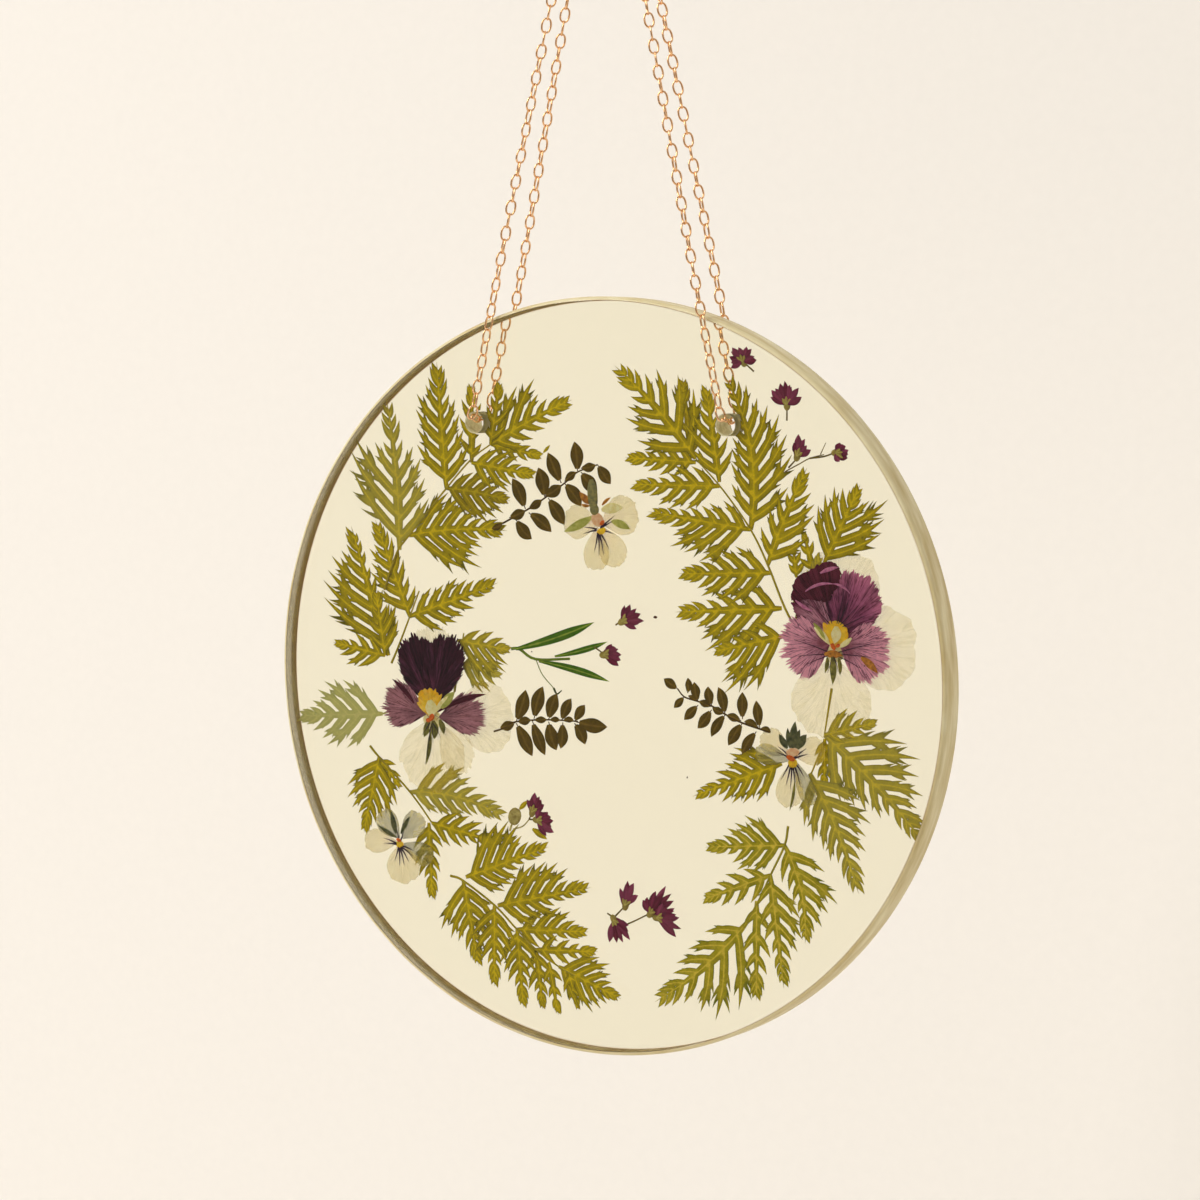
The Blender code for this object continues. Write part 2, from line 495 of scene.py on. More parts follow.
def smooth_line(stops, per_stretch=5):
    """Points on a smooth curve through the stops."""
    stops = [Vector(stop) for stop in stops]
    ends = [stops[0] * 2 - stops[1]] + stops + [stops[-1] * 2 - stops[-2]]
    line = []
    for a, b, c, d in zip(ends, ends[1:], ends[2:], ends[3:]):
        for step in range(per_stretch):
            t = step / per_stretch
            line.append(0.5 * (2 * b + (c - a) * t + (2 * a - 5 * b + 4 * c - d) * t**2
                               + (3 * b - a - 3 * c + d) * t**3))
    return line + [stops[-1]]


def stem(body, stops, depth, thick=0.5, thin=0.3, tone=(0.0, 0.0)):
    """A thin stalk through places on the disc's plane."""
    line = smooth_line(stops)
    last = len(line) - 1
    path = [at(spot.x, spot.y, depth) for spot in line]
    radii = [(thick + (thin - thick) * n / last) / 2 * MM for n in range(len(line))]
    sweep(body, path, radii, sides=7, tone=tone)


def bent_axis(base, tip, bow, count=12):
    """Points from base to tip, bowed to the left of the way there."""
    base, tip = Vector(base), Vector(tip)
    way = tip - base
    aside = Vector((-way.y, way.x)).normalized() * bow
    return [base + way * (n / count) + aside * (4 * n / count * (1 - n / count)) for n in range(count + 1)]


def blade_outline(axis, half_width, belly=0.35, point=1.6, foot=0.5):
    """The outline of a narrow leaf round its axis, widest at the belly's share of its length,
    the blunter at its tip the higher its point, and with its foot's share of the width."""
    last = len(axis) - 1
    left, right = [], []
    for n, spot in enumerate(axis):
        ahead, behind = axis[min(n + 1, last)], axis[max(n - 1, 0)]
        way = (ahead - behind).normalized()
        share = n / last
        rise = foot + (1 - foot) * sin(pi / 2 * min(1.0, share / belly))
        wide = half_width * rise * max(0.0, 1 - max(0.0, (share - belly) / (1 - belly)) ** point)
        aside = Vector((-way.y, way.x)) * max(wide, 0.02)
        left.append(spot + aside)
        right.append(spot - aside)
    return right + left[::-1]


HOLES = [(side * HOLE_X / MM, (HOLE_Z - DISC_CENTRE.z) / MM) for side in (-1, 1)]
HOLE_CLEAR = HOLE_RADIUS / MM + 0.35
RIM_CLEAR = DISC_RADIUS / MM - 1.3
HOLE_CUT_STEPS = 28
RIM_CUT_STEPS = 400


def circle(centre, radius, count):
    turns = [2 * pi * n / count for n in range(count)]
    return [Vector((centre[0] + radius * cos(turn), centre[1] + radius * sin(turn))) for turn in turns]


def cut_shape(outlines, veins):
    """One flat shape from overlapping outlines: its points, its triangles, and how far each
    point lies from the nearest vein, 0, to the edge, 1. Whatever meets a drilled hole or the
    rim is cut away."""
    points, edges, faces = [], [], []
    for outline in outlines:
        start = len(points)
        points += outline
        faces.append(list(range(start, start + len(outline))))
    for vein in veins:
        start = len(points)
        points += vein
        edges += [(start + n, start + n + 1) for n in range(len(vein) - 1)]
    reach = max(hypot(*point) for point in points)
    near = []
    for hole in HOLES:
        if any((point - Vector(hole)).length < HOLE_CLEAR + 1 for point in points):
            near.append(hole)
    cuts = [circle(hole, HOLE_CLEAR, HOLE_CUT_STEPS) for hole in near]
    if reach > RIM_CLEAR:
        cuts.append(circle((0, 0), RIM_CLEAR, RIM_CUT_STEPS))
    for cut in cuts:
        start, count = len(points), len(cut)
        points += cut
        edges += [(start + n, start + (n + 1) % count) for n in range(count)]
    spots, _, triangles, _, _, owners = delaunay_2d_cdt(points, edges, faces, 0, 1e-5)
    kept = []
    for triangle, owner in zip(triangles, owners):
        middle = (spots[triangle[0]] + spots[triangle[1]] + spots[triangle[2]]) / 3
        clear = all((middle - Vector(hole)).length > HOLE_CLEAR * 0.99 for hole in near)
        if owner and clear and middle.length < RIM_CLEAR:
            kept.append(tuple(triangle))
    used = sorted({corner for triangle in kept for corner in triangle})
    place = {corner: n for n, corner in enumerate(used)}
    spots = [spots[corner] for corner in used]
    kept = [tuple(place[corner] for corner in triangle) for triangle in kept]
    inner = vein_distance(spots, veins)
    outer = vein_distance(spots, open_edges(spots, kept))
    return spots, kept, inner / (inner + outer + 1e-6)


def open_edges(spots, triangles):
    """The edges that only one triangle has, each as a line of two points."""
    sides = {(face[n], face[(n + 1) % 3]) for face in triangles for n in range(3)}
    return [(spots[first], spots[second]) for first, second in sides if (second, first) not in sides]


def vein_distance(spots, veins):
    starts = np.array([vein[n] for vein in veins for n in range(len(vein) - 1)])
    ends = np.array([vein[n + 1] for vein in veins for n in range(len(vein) - 1)])
    here = np.array([tuple(spot) for spot in spots])[:, None, :]
    way = ends - starts
    share = ((here - starts) * way).sum(2) / np.maximum((way**2).sum(1), 1e-12)
    nearest = starts + np.clip(share, 0, 1)[:, :, None] * way
    return np.sqrt(((here - nearest) ** 2).sum(2)).min(1)


def thin_solid(body, spots, triangles, depths, halves, grain, tone=(0.0, 0.0)):
    """A closed thin shape: a front, a back, and a rim round every open edge."""
    count = len(spots)
    front = [at(spot.x, spot.y, depths[n] - halves[n]) for n, spot in enumerate(spots)]
    back = [at(spot.x, spot.y, depths[n] + halves[n]) for n, spot in enumerate(spots)]
    faces = list(triangles) + [tuple(corner + count for corner in face[::-1]) for face in triangles]
    sides = {}
    for face in triangles:
        for n, corner in enumerate(face):
            sides[(corner, face[(n + 1) % len(face)])] = True
    for first, second in sides:
        if (second, first) not in sides:
            faces.append((second, first, first + count, second + count))
    body.add(front + back, faces, list(grain) * 2, tone)


# ---------------------------------------------------------------- the chains


def strand_point(side, face, height):
    """The middle of a strand at a height: taut from the ring to just over the rim, then flat
    against the disc, with a short eased bend between the two."""
    across = side * (MEETING_Z - height) * STRAND_SLOPE
    fall = (CHAIN_END_Z - height) / (CHAIN_END_Z - BEND_Z)
    if fall < 1 - BEND_SHARE:
        reach = fall
    elif fall < 1 + BEND_SHARE:
        reach = fall - (fall - 1 + BEND_SHARE) ** 2 / (4 * BEND_SHARE)
    else:
        reach = 1.0
    forward = CHAIN_END_FORWARD + (STRAND_Y - CHAIN_END_FORWARD) * reach
    return Vector((across, face * forward, height))


def chain_route(side):
    """Points from the ring down the front, through the disc and up the back to the ring."""
    foot = HOLE_RUN_Z + HOLE_TURN * 1.1
    stagger = side * END_LINK_STAGGER
    front = [Vector((side * END_LINK_ASIDE, -CHAIN_END_FORWARD - stagger, END_LINK_Z))]
    for n in range(STRAND_POINTS):
        height = SLANT_TOP_Z + (foot - SLANT_TOP_Z) * n / (STRAND_POINTS - 1)
        front.append(strand_point(side, -1, height))
    above = front[-1]
    corner = Vector((side * HOLE_X, -STRAND_Y, HOLE_RUN_Z))
    inner = corner + Vector((0, HOLE_TURN, 0))
    for step in range(1, TURN_POINTS + 1):
        t = step / TURN_POINTS
        front.append(above.lerp(corner, t).lerp(corner.lerp(inner, t), t))
    inside = front[-1].copy()
    front += [inside.lerp(Vector((inside.x, 0, inside.z)), n / 3) for n in (1, 2)]
    back = [Vector((spot.x, -spot.y, spot.z)) for spot in reversed(front)]
    back[-1].y = CHAIN_END_FORWARD + stagger
    return front + [Vector((side * HOLE_X, 0, HOLE_RUN_Z))] + back


def walk(route, count):
    """Evenly spaced places along a route, each with the way it runs, and its whole length."""
    lengths = [0.0]
    for near, far in zip(route, route[1:]):
        lengths.append(lengths[-1] + (far - near).length)
    places = []
    stretch = 0
    for n in range(count):
        goal = lengths[-1] * n / (count - 1)
        while stretch < len(route) - 2 and lengths[stretch + 1] < goal:
            stretch += 1
        near, far = route[stretch], route[stretch + 1]
        share = (goal - lengths[stretch]) / (lengths[stretch + 1] - lengths[stretch])
        places.append((near.lerp(far, share), (far - near).normalized()))
    return places, lengths[-1]


def add_link(body, middle, way, across, metal):
    """One oval link round its middle; way is its long axis and across its short one."""
    wire = metal.link_wire / 2
    long_reach = metal.link_length / 2 - wire
    short_reach = metal.link_width / 2 - wire
    path = []
    for step in range(LINK_STEPS):
        angle = 2 * pi * step / LINK_STEPS
        flat = abs(cos(angle)) ** 0.85 * (1 if cos(angle) > 0 else -1)
        round_end = abs(sin(angle)) ** 0.85 * (1 if sin(angle) > 0 else -1)
        path.append(middle + way * (long_reach * flat) + across * (short_reach * round_end))
    sweep(body, path, wire, sides=8, closed=True)


def make_chain(side, word, metal, material):
    route = chain_route(side)
    pitch = metal.link_length - 1.6 * metal.link_wire
    _, length = walk(route, 2)
    count = round(length / pitch)
    count += 1 - count % 2
    places, _ = walk(route, count)
    level = Vector((STRAND_SLOPE * -side, 0, 1)).normalized().cross(Vector((0, 1, 0)))
    random = Random(f"{word} chain")
    body = Body()
    for n, (middle, way) in enumerate(places):
        rest = min(1.0, min(n, count - 1 - n) / 9)
        roll = rest * (radians(38) + 0.9 * noise.noise(Vector((n * 0.09, side * 3.1, 0.4))))
        roll += radians(90) * (n % 2) + rest * random.uniform(-0.14, 0.14)
        tilt = rest * random.uniform(-0.07, 0.07)
        flat = (level - way * level.dot(way)).normalized()
        across = Quaternion(way, roll) @ flat
        leaning = Quaternion(way.cross(across), tilt)
        add_link(body, middle, leaning @ way, leaning @ across, metal)
    piece = body.piece(f"{word}_chain", material, slot="gold_plate")
    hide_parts(f"{word}_chain_front", f"{word}_chain_back", f"{word}_chain_in_hole")


# ---------------------------------------------------------------- the disc


def rounded_edge(rounding, clear, turns):
    """Radius and depth along the rim and its rounded edges, at a clearance from the disc."""
    corner = DISC_RADIUS - rounding
    side = DISC_THICKNESS / 2 - rounding
    reach = rounding + clear
    front = [(corner + reach * sin(turn), -side - reach * cos(turn)) for turn in turns]
    return front + [(radius, -depth) for radius, depth in reversed(front)]


def turned_points(centre, profile, count):
    """Rings of points about a line along Y, one for each radius and depth of a profile."""
    turns = [2 * pi * n / count for n in range(count)]
    return [centre + Vector((radius * cos(turn), depth, radius * sin(turn)))
            for radius, depth in profile for turn in turns]


def ring_faces(first, second, count):
    """The faces between two rings of points, by the numbers of their first points."""
    return [(first + n, first + (n + 1) % count, second + (n + 1) % count, second + n)
            for n in range(count)]


def add_turned(body, centre, profile, count):
    """A skin turned about a line along Y, from a profile that closes on itself."""
    rings = [n * count for n in range(len(profile))]
    faces = []
    for ring, after in zip(rings, rings[1:] + rings[:1]):
        faces += ring_faces(ring, after, count)
    body.add(turned_points(centre, profile, count), faces)


def drilled_face(outline, bores, spots):
    """The corners of the triangles between a round outline and the two holes inside it."""
    flat = outline + bores
    second = RIM_SEGMENTS + BORE_SEGMENTS
    loops = [(0, RIM_SEGMENTS), (RIM_SEGMENTS, BORE_SEGMENTS), (second, BORE_SEGMENTS)]
    edges = [(start + n, start + (n + 1) % count) for start, count in loops for n in range(count)]
    _, _, triangles, sources, _, _ = delaunay_2d_cdt(flat, edges, [], 0, 1e-9)
    kept = []
    for triangle in triangles:
        corners = [sources[corner][0] for corner in triangle]
        middle = sum((flat[corner] for corner in corners), Vector((0, 0))) / 3
        if all((middle - Vector(spot)).length >= HOLE_RADIUS * 0.97 for spot in spots):
            kept.append(corners)
    return kept


def mark_finish(piece):
    """The finish map says how rough each face is: the hole walls, the rim, or polished."""
    shape = bmesh.new()
    shape.from_mesh(piece.data)
    bmesh.ops.recalc_face_normals(shape, faces=shape.faces)
    finish = shape.loops.layers.uv.new("finish")
    for face in shape.faces:
        rough = 0.0
        if abs(face.normal.y) < 0.5:
            inside = (face.calc_center_median() - DISC_CENTRE).length < DISC_RADIUS * 0.9
            rough = WALL_FROSTING if inside else RIM_FROSTING
        for corner in face.loops:
            corner[finish].uv = (rough, 0.0)
    shape.to_mesh(piece.data)
    shape.free()


def make_disc(resin, material):
    """The turned disc, drilled twice. Its flat faces have a ring of points round each hole, and
    the hole walls join them in one closed skin."""
    body = Body()
    turns = [pi / 2 * step / ROUNDING_STEPS for step in range(ROUNDING_STEPS + 1)]
    profile = rounded_edge(resin.rounding, 0.0, turns)
    body.add(turned_points(DISC_CENTRE, profile, RIM_SEGMENTS), [])
    rings = [n * RIM_SEGMENTS for n in range(len(profile))]
    for near, far in zip(rings, rings[1:]):
        body.faces += ring_faces(near, far, RIM_SEGMENTS)
    outline = circle((0, 0), DISC_RADIUS - resin.rounding, RIM_SEGMENTS)
    spots = [(side * HOLE_X, HOLE_Z - DISC_CENTRE.z) for side in (-1, 1)]
    turns = [2 * pi * n / BORE_SEGMENTS for n in range(BORE_SEGMENTS)]
    bores = [Vector(spot) + Vector((cos(turn), sin(turn))) * HOLE_DIAMETER / 2
             for spot in spots for turn in turns]
    triangles = drilled_face(outline, bores, spots)
    mouths = []
    for depth, rim, way in ((-DISC_THICKNESS / 2, rings[0], 1), (DISC_THICKNESS / 2, rings[-1], -1)):
        mouth = len(body.points)
        mouths.append(mouth)
        body.add([DISC_CENTRE + Vector((point.x, depth, point.y)) for point in bores], [])
        for corners in triangles:
            found = [rim + n if n < RIM_SEGMENTS else mouth + n - RIM_SEGMENTS for n in corners]
            body.faces.append(tuple(found[::way]))
    for start in (0, BORE_SEGMENTS):
        body.faces += ring_faces(mouths[1] + start, mouths[0] + start, BORE_SEGMENTS)
    piece = body.piece("cast_resin_disc", material, slot="clear_resin", smooth_angle=30)
    mark_finish(piece)
    piece.data.shade_smooth()
    piece.data.set_sharp_from_angle(angle=radians(30))
    for face in piece.data.polygons:
        face.use_smooth = abs(face.normal.y) < 0.999
    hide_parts("resin_disc")


def make_rim_skin(resin, material, name, low, high):
    """A satin skin that follows the rim and its rounded edges between two clearances."""
    turns = [radians(angle) for angle in (8, 35, 62, 90)]
    inner, outer = (rounded_edge(resin.rounding, clear, turns) for clear in (low, high))
    body = Body()
    add_turned(body, DISC_CENTRE, outer + inner[::-1], RIM_SEGMENTS)
    body.piece(name, material)


def make_bore_frost(material):
    """The milky skin that the drill left on each hole's wall."""
    depth = DISC_THICKNESS / 2 - 0.1 * MM
    outer, inner = HOLE_RADIUS * 0.99, HOLE_RADIUS * 0.955
    profile = ((outer, -depth), (outer, depth), (inner, depth), (inner, -depth))
    for word, side in (("left", -1), ("right", 1)):
        body = Body()
        add_turned(body, Vector((side * HOLE_X, 0, HOLE_Z)), profile, BORE_SEGMENTS)
        body.piece(f"{word}_hole_frosting", material)


# ---------------------------------------------------------------- the fern fronds

Pinna = namedtuple("Pinna", "base tip bow left right fade dry", defaults=(0.0, 0.0))
Frond = namedtuple("Frond", "name depth material stalk pinnae")

FRONDS = (
    Frond("fern_upper_left", 3.6, "green",
          ((-68, 21), (-64, 31), (-60, 36), (-48, 49), (-40, 57), (-34, 61)), (
        Pinna((-63, 32), (-67, 73), -1, (15, 14, 12, 6, 3), (10, 9, 8, 6, 3), 0.30),
        Pinna((-48, 49), (-51, 83), 0, (8, 8, 8, 7, 4), (8, 7, 6, 5, 3)),
        Pinna((-40, 56), (-40, 77), 0, (4, 4, 3), (3, 4, 3)),
        Pinna((-34, 61), (-31, 78), 0, (4, 3, 2), (4, 4, 2)),
        Pinna((-34, 61), (-9, 73), 0.5, (10, 9, 5, 3), (6, 5, 4, 3)),
        Pinna((-34, 61), (-18, 58), 0, (3, 2, 2), (3, 3, 2)),
        Pinna((-40, 56), (-20, 53), 0, (5, 5, 4, 2), (6, 6, 4, 2)),
        Pinna((-48, 49), (-28, 46), 0.5, (5, 6, 5, 3), (7, 8, 6, 4), 0, 0.35),
        Pinna((-60, 36), (-29, 38), 1, (10, 9, 7, 5, 3), (12, 11, 8, 5, 3)),
    )),
    Frond("fern_middle_left", 4.2, "green", ((-66, 1), (-64, 5), (-60, 14), (-57, 21)), (
        Pinna((-60, 14), (-71, 40), 0, (7, 7, 6, 5, 3), (5, 4, 4, 4, 3)),
        Pinna((-60, 14), (-32, 24), 0, (5, 5, 5, 4, 3), (7, 6, 5, 4, 2)),
        Pinna((-67, 3), (-79, 38), 0, (15, 14, 11, 9, 5), (6, 5, 4, 3, 2)),
        Pinna((-68, 3), (-71, 21), 0, (4, 4, 2), (6, 6, 3)),
        Pinna((-68, 3), (-85, 6), 0, (5, 5, 3), (5, 4, 2)),
    )),
    Frond("fern_pale_left", 4.6, "pale", ((-66, -12), (-69, -13)), (
        Pinna((-69, -13), (-97, -15), 0, (9, 8, 6, 4), (10, 9, 7, 4), 0.45),
    )),
    Frond("fern_inner_left", 4.7, "green", ((-46, -6), (-43, 10)), (
        Pinna((-45, 8), (-28, 6), 0, (4, 4, 3), (9, 8, 6, 4), 0.15),
        Pinna((-44, 2), (-31, -1), 0, (4, 3, 2), (6, 5, 3), 0.35),
    )),
    Frond("fern_lower_left", 3.9, "green", ((-73, -22), (-70, -25), (-60, -34), (-53, -42), (-49, -47)), (
        Pinna((-70, -25), (-75, -46), 0, (9, 8, 5, 3), (8, 7, 5, 3)),
        Pinna((-70, -25), (-63, -33), 0, (3, 2), (3, 2)),
        Pinna((-60, -34), (-30, -39), 2, (8, 8, 6, 4, 3), (6, 6, 6, 4, 3), 0.35),
        Pinna((-53, -42), (-32, -46), 0, (5, 5, 4, 2), (5, 4, 3, 2)),
        Pinna((-54, -42), (-53, -63), 0, (4, 3, 3, 2), (5, 5, 4, 2)),
    )),
    Frond("fern_bottom_left", 3.4, "green",
          ((-47, -56), (-43, -57), (-33, -63), (-26, -69), (-20, -74), (-13, -78), (-8, -80)), (
        Pinna((-42, -56), (-16, -46), 0, (11, 10, 8, 5, 3), (7, 6, 5, 3, 2)),
        Pinna((-32, -63), (-3, -56), 0, (9, 9, 8, 6, 3), (7, 6, 5, 3, 2)),
        Pinna((-26, -69), (-4, -68), 0, (6, 6, 5, 3), (5, 4, 3, 2)),
        Pinna((-20, -74), (-1, -73), 0, (4, 3, 2), (4, 4, 2)),
        Pinna((-13, -78), (6, -85), 0, (8, 7, 5, 3), (8, 7, 5, 3)),
        Pinna((-43, -57), (-38, -80), 0, (8, 7, 5, 3), (10, 7, 5, 3)),
        Pinna((-33, -63), (-33, -85), 0, (7, 6, 4, 2), (7, 6, 4, 2)),
        Pinna((-26, -69), (-24, -90), 0, (6, 5, 3, 2), (6, 5, 4, 2)),
        Pinna((-20, -74), (-18, -90), 0, (4, 3, 2), (4, 4, 2)),
        Pinna((-16, -77), (-13, -91), 0, (3, 2), (3, 2)),
        Pinna((-10, -79), (-7, -89), 0, (3, 2), (3, 2)),
    )),
    Frond("fern_upper_right", 3.6, "green",
          ((59, 12), (54, 20), (49, 31), (44, 40), (36, 50), (28, 58)), (
        Pinna((28, 58), (4, 82), -1, (10, 9, 6, 3), (11, 10, 7, 4)),
        Pinna((27, 58), (24, 79), 0, (4, 3, 2), (4, 4, 2), 0, 0.3),
        Pinna((28, 57), (7, 58), 0, (4, 4, 3, 2), (4, 4, 3, 2)),
        Pinna((35, 52), (31, 77), 0, (7, 8, 5, 3), (5, 4, 3, 2)),
        Pinna((35, 51), (9, 51), 0, (6, 6, 5, 3), (5, 5, 3, 2)),
        Pinna((44, 40), (36, 80), -4, (7, 7, 6, 5, 4, 2), (9, 10, 10, 9, 7, 5)),
        Pinna((44, 40), (14, 44), 0, (10, 9, 8, 5, 3), (6, 5, 4, 3, 2)),
        Pinna((50, 29), (23, 28), 0, (8, 7, 6, 4), (7, 6, 5, 3)),
        Pinna((53, 20), (22, 18), 0, (11, 10, 7, 4), (7, 6, 5, 3)),
        Pinna((54, 13), (33, 8), 0, (12, 11, 8, 4), (5, 4, 3)),
        Pinna((49, 31), (60, 56), 0.5, (5, 5, 4, 2), (8, 8, 6, 4)),
        Pinna((57, 17), (64, 34), 0, (3, 3, 2), (4, 3, 2), 0.2),
    )),
    Frond("fern_right_sprig", 4.0, "green", ((68, 22), (65, 32)), (
        Pinna((65, 32), (75, 52), 0, (8, 8, 6, 4), (10, 10, 8, 4)),
        Pinna((62, 29), (59, 40), 0, (3, 2), (3, 2)),
        Pinna((57, 28), (56, 36), 0, (2, 2), (3, 2)),
    )),
    Frond("fern_right", 4.6, "green", ((67, 0), (65, -12)), (
        Pinna((65, -12), (80, -8), 0, (5, 4, 2), (3, 3, 2), 0.2),
        Pinna((65, -12), (93, -38), 1, (13, 13, 10, 7, 4), (10, 9, 7, 5, 3), 0.28),
        Pinna((65, -13), (65, -26), 0, (3, 3, 2), (3, 2, 2)),
    )),
    Frond("fern_lower_right", 4.3, "green", ((65, -14), (61, -23)), (
        Pinna((61, -22), (75, -52), 1, (9, 9, 7, 5, 3), (8, 8, 6, 5, 3), 0.28),
        Pinna((53, -20), (27, -30), 0, (7, 6, 5, 4, 2), (8, 7, 5, 4, 2)),
    )),
    Frond("fern_bottom_right", 3.8, "olive", ((55, -36), (54, -41), (50, -49), (47, -55), (43, -62)), (
        Pinna((54, -41), (31, -43), 0, (7, 6, 4, 2), (8, 6, 5, 3)),
        Pinna((54, -41), (60, -66), 2, (7, 8, 6, 4), (5, 4, 3, 2)),
        Pinna((50, -49), (30, -57), 0, (5, 4, 3), (4, 4, 3)),
        Pinna((50, -49), (54, -78), 0, (7, 7, 5, 3), (5, 5, 4, 2)),
        Pinna((46, -56), (46, -82), 0, (4, 4, 3), (4, 4, 3)),
        Pinna((43, -62), (16, -85), 1.5, (14, 12, 8, 4), (7, 7, 6, 4)),
    )),
)


def lobe_shapes(base, tip, width, side, random, teeth):
    """One pointed lobe of a side branch and its teeth, more of them on its outer side: the
    outlines and the lobe's vein."""
    base, tip = Vector(base), Vector(tip)
    way = tip - base
    length = way.length
    axis = bent_axis(base, tip, side * 0.045 * length, 10)
    outlines = [blade_outline(axis, width, 0.34, 1.25, 0.85)]
    for turn in (side, -side):
        count = teeth if turn == side else max(0, teeth - 1)
        for n in range(count):
            share = 0.26 + 0.38 * (n + 0.5) / count + (0.0 if turn == side else 0.1)
            start = axis[round(share * 10)]
            size = length * (0.36 - 0.16 * share) * random.uniform(0.85, 1.15)
            swing = radians(turn * random.uniform(24, 32))
            aim = Matrix.Rotation(swing, 2) @ way.normalized()
            point = bent_axis(start - aim * 0.6, start + aim * size, turn * size * 0.05, 6)
            outlines.append(blade_outline(point, width * 0.52, 0.30, 1.1, 0.9))
    return outlines, [axis[:-1]]


def pinna_shapes(pinna, random):
    """The outlines and the veins of one leafy side branch."""
    axis = bent_axis(pinna.base, pinna.tip, pinna.bow, 24)
    length = (axis[-1] - axis[0]).length
    outlines = [blade_outline(axis, 0.66 + 0.022 * length, 0.36, 1.0, 0.4)]
    veins = [axis]
    for side, reaches in ((1, pinna.left), (-1, pinna.right)):
        count = len(reaches)
        last = min(reaches[-1], length * 0.09)
        ending = [(0.72, last * 0.95), (0.81, last * 0.72), (0.89, last * 0.5)]
        stations = [(0.04 + 0.64 * (n + 0.35) / count, reach) for n, reach in enumerate(reaches)]
        for share, reach in stations + ending:
            share += side * 0.012
            low = axis[min(int(share * 24), 22)]
            high = axis[min(int(share * 24) + 1, 23)]
            base = low.lerp(high, share * 24 % 1)
            way = (high - low).normalized()
            lean = radians(44 - 22 * share + random.uniform(-3, 3))
            aim = Matrix.Rotation(side * lean, 2) @ way
            size = max(1.4, reach / sin(lean) * random.uniform(0.95, 1.06))
            width = min(1.35, 0.29 * size, 0.62 + 0.058 * size, 0.27 * length / count * sin(lean) + 0.25)
            teeth = 0 if size < 4.2 else 1 if size < 8 else 2 if size < 13 else 3
            found, ribs = lobe_shapes(base, base + aim * size, width, side, random, teeth)
            outlines += found
            veins += ribs
    return outlines, veins


def make_frond(frond, materials):
    body = Body()
    random = Random(frond.name)
    stem(body, frond.stalk, frond.depth, 0.75, 0.42, (0.15, 0.15))
    for number, pinna in enumerate(frond.pinnae):
        outlines, veins = pinna_shapes(pinna, random)
        spots, triangles, outward = cut_shape(outlines, veins)
        base, tip = Vector(pinna.base), Vector(pinna.tip)
        way = tip - base
        level = frond.depth + 0.16 * (number % 3 - 1)
        depths, halves, grain = [], [], []
        for spot, out in zip(spots, outward):
            share = (spot - base).dot(way) / way.length_squared
            wave = noise.noise(Vector((spot.x * 0.11, spot.y * 0.11, number * 1.7)))
            depths.append(level + 0.22 * wave * min(1.0, max(0.0, share) * 3))
            halves.append(0.10 - 0.05 * out)
            grain.append((out, min(1.0, max(0.0, share))))
        thin_solid(body, spots, triangles, depths, halves, grain, (pinna.fade, pinna.dry))
    body.piece(frond.name, materials[frond.material])


# ---------------------------------------------------------------- sprigs of oval leaflets

Sprig = namedtuple("Sprig", "name depth rachis leaflets width")

SPRIGS = (
    Sprig("dark_sprig_top", 3.0, ((-30, 40), (-22, 44), (-17, 47), (-11, 51), (-7, 54), (-1, 56)), (
        ((-23, 44), (-27, 52)), ((-17, 47), (-19, 55)), ((-12, 51), (-16, 59)), ((-7, 54), (-8, 62)),
        ((-26, 41), (-21, 36)), ((-22, 43), (-15, 38)), ((-16, 47), (-11, 40)), ((-11, 51), (-6, 45)),
        ((-6, 54), (-1, 49)), ((-1, 56), (3, 51)),
        ((-28, 41.5), (-23, 43.5)), ((-22, 44), (-18, 46.5)), ((-17, 47.5), (-12, 50.5)),
        ((-11, 51.5), (-7.5, 54)), ((-6, 55), (-1.5, 56)), ((-30, 40), (-33.5, 38.5)),
    ), 4.0),
    Sprig("dark_sprig_left", 3.1, ((-33, -16), (-30, -15), (-26, -13), (-16, -12), (-7, -12)), (
        ((-26, -13), (-23, -4.3)), ((-20.5, -12), (-17.7, -3.2)), ((-16, -12), (-13.3, -4.9)),
        ((-12, -12), (-9, -6)), ((-8, -12), (-4.8, -7.5)), ((-26, -13.4), (-21, -22)),
        ((-21, -12.6), (-17, -21.5)), ((-16, -12.5), (-13.5, -20)), ((-11.6, -12.5), (-12.2, -19.5)),
        ((-8, -12.5), (-4.8, -18)), ((-7.4, -12.2), (2, -13)), ((-26.3, -13.3), (-31, -14.8)),
        ((-25.5, -13), (-21.4, -12.3)), ((-20.4, -12.2), (-16.5, -12)), ((-15.6, -12), (-12.4, -12)),
        ((-11.5, -12), (-8.2, -12)),
    ), 3.9),
    Sprig("dark_sprig_right", 3.0, ((50, -12), (42, -10), (37, -8), (33, -6), (29, -5), (25, -4), (23, -2)), (
        ((47, -11), (46, -4)), ((42, -9), (42, -2)), ((37, -8), (35, -1)), ((33, -6), (32, -1)),
        ((29, -5), (28, 0)), ((26, -3), (26, 1)), ((23, -2), (19, 0.5)), ((46, -12), (42, -18)),
        ((42, -10), (38, -16)), ((37, -8), (33, -14)), ((33, -7), (29, -12)), ((29, -6), (25, -10)),
        ((25, -4), (22, -7)), ((47.2, -11.2), (50.2, -12)), ((46.6, -10.8), (42.6, -9.6)),
        ((41.6, -9.4), (37.4, -8.2)), ((36.7, -7.8), (33.3, -6.4)), ((32.7, -6.2), (29.3, -5)),
        ((28.7, -4.8), (26.2, -3.6)),
    ), 3.0),
)


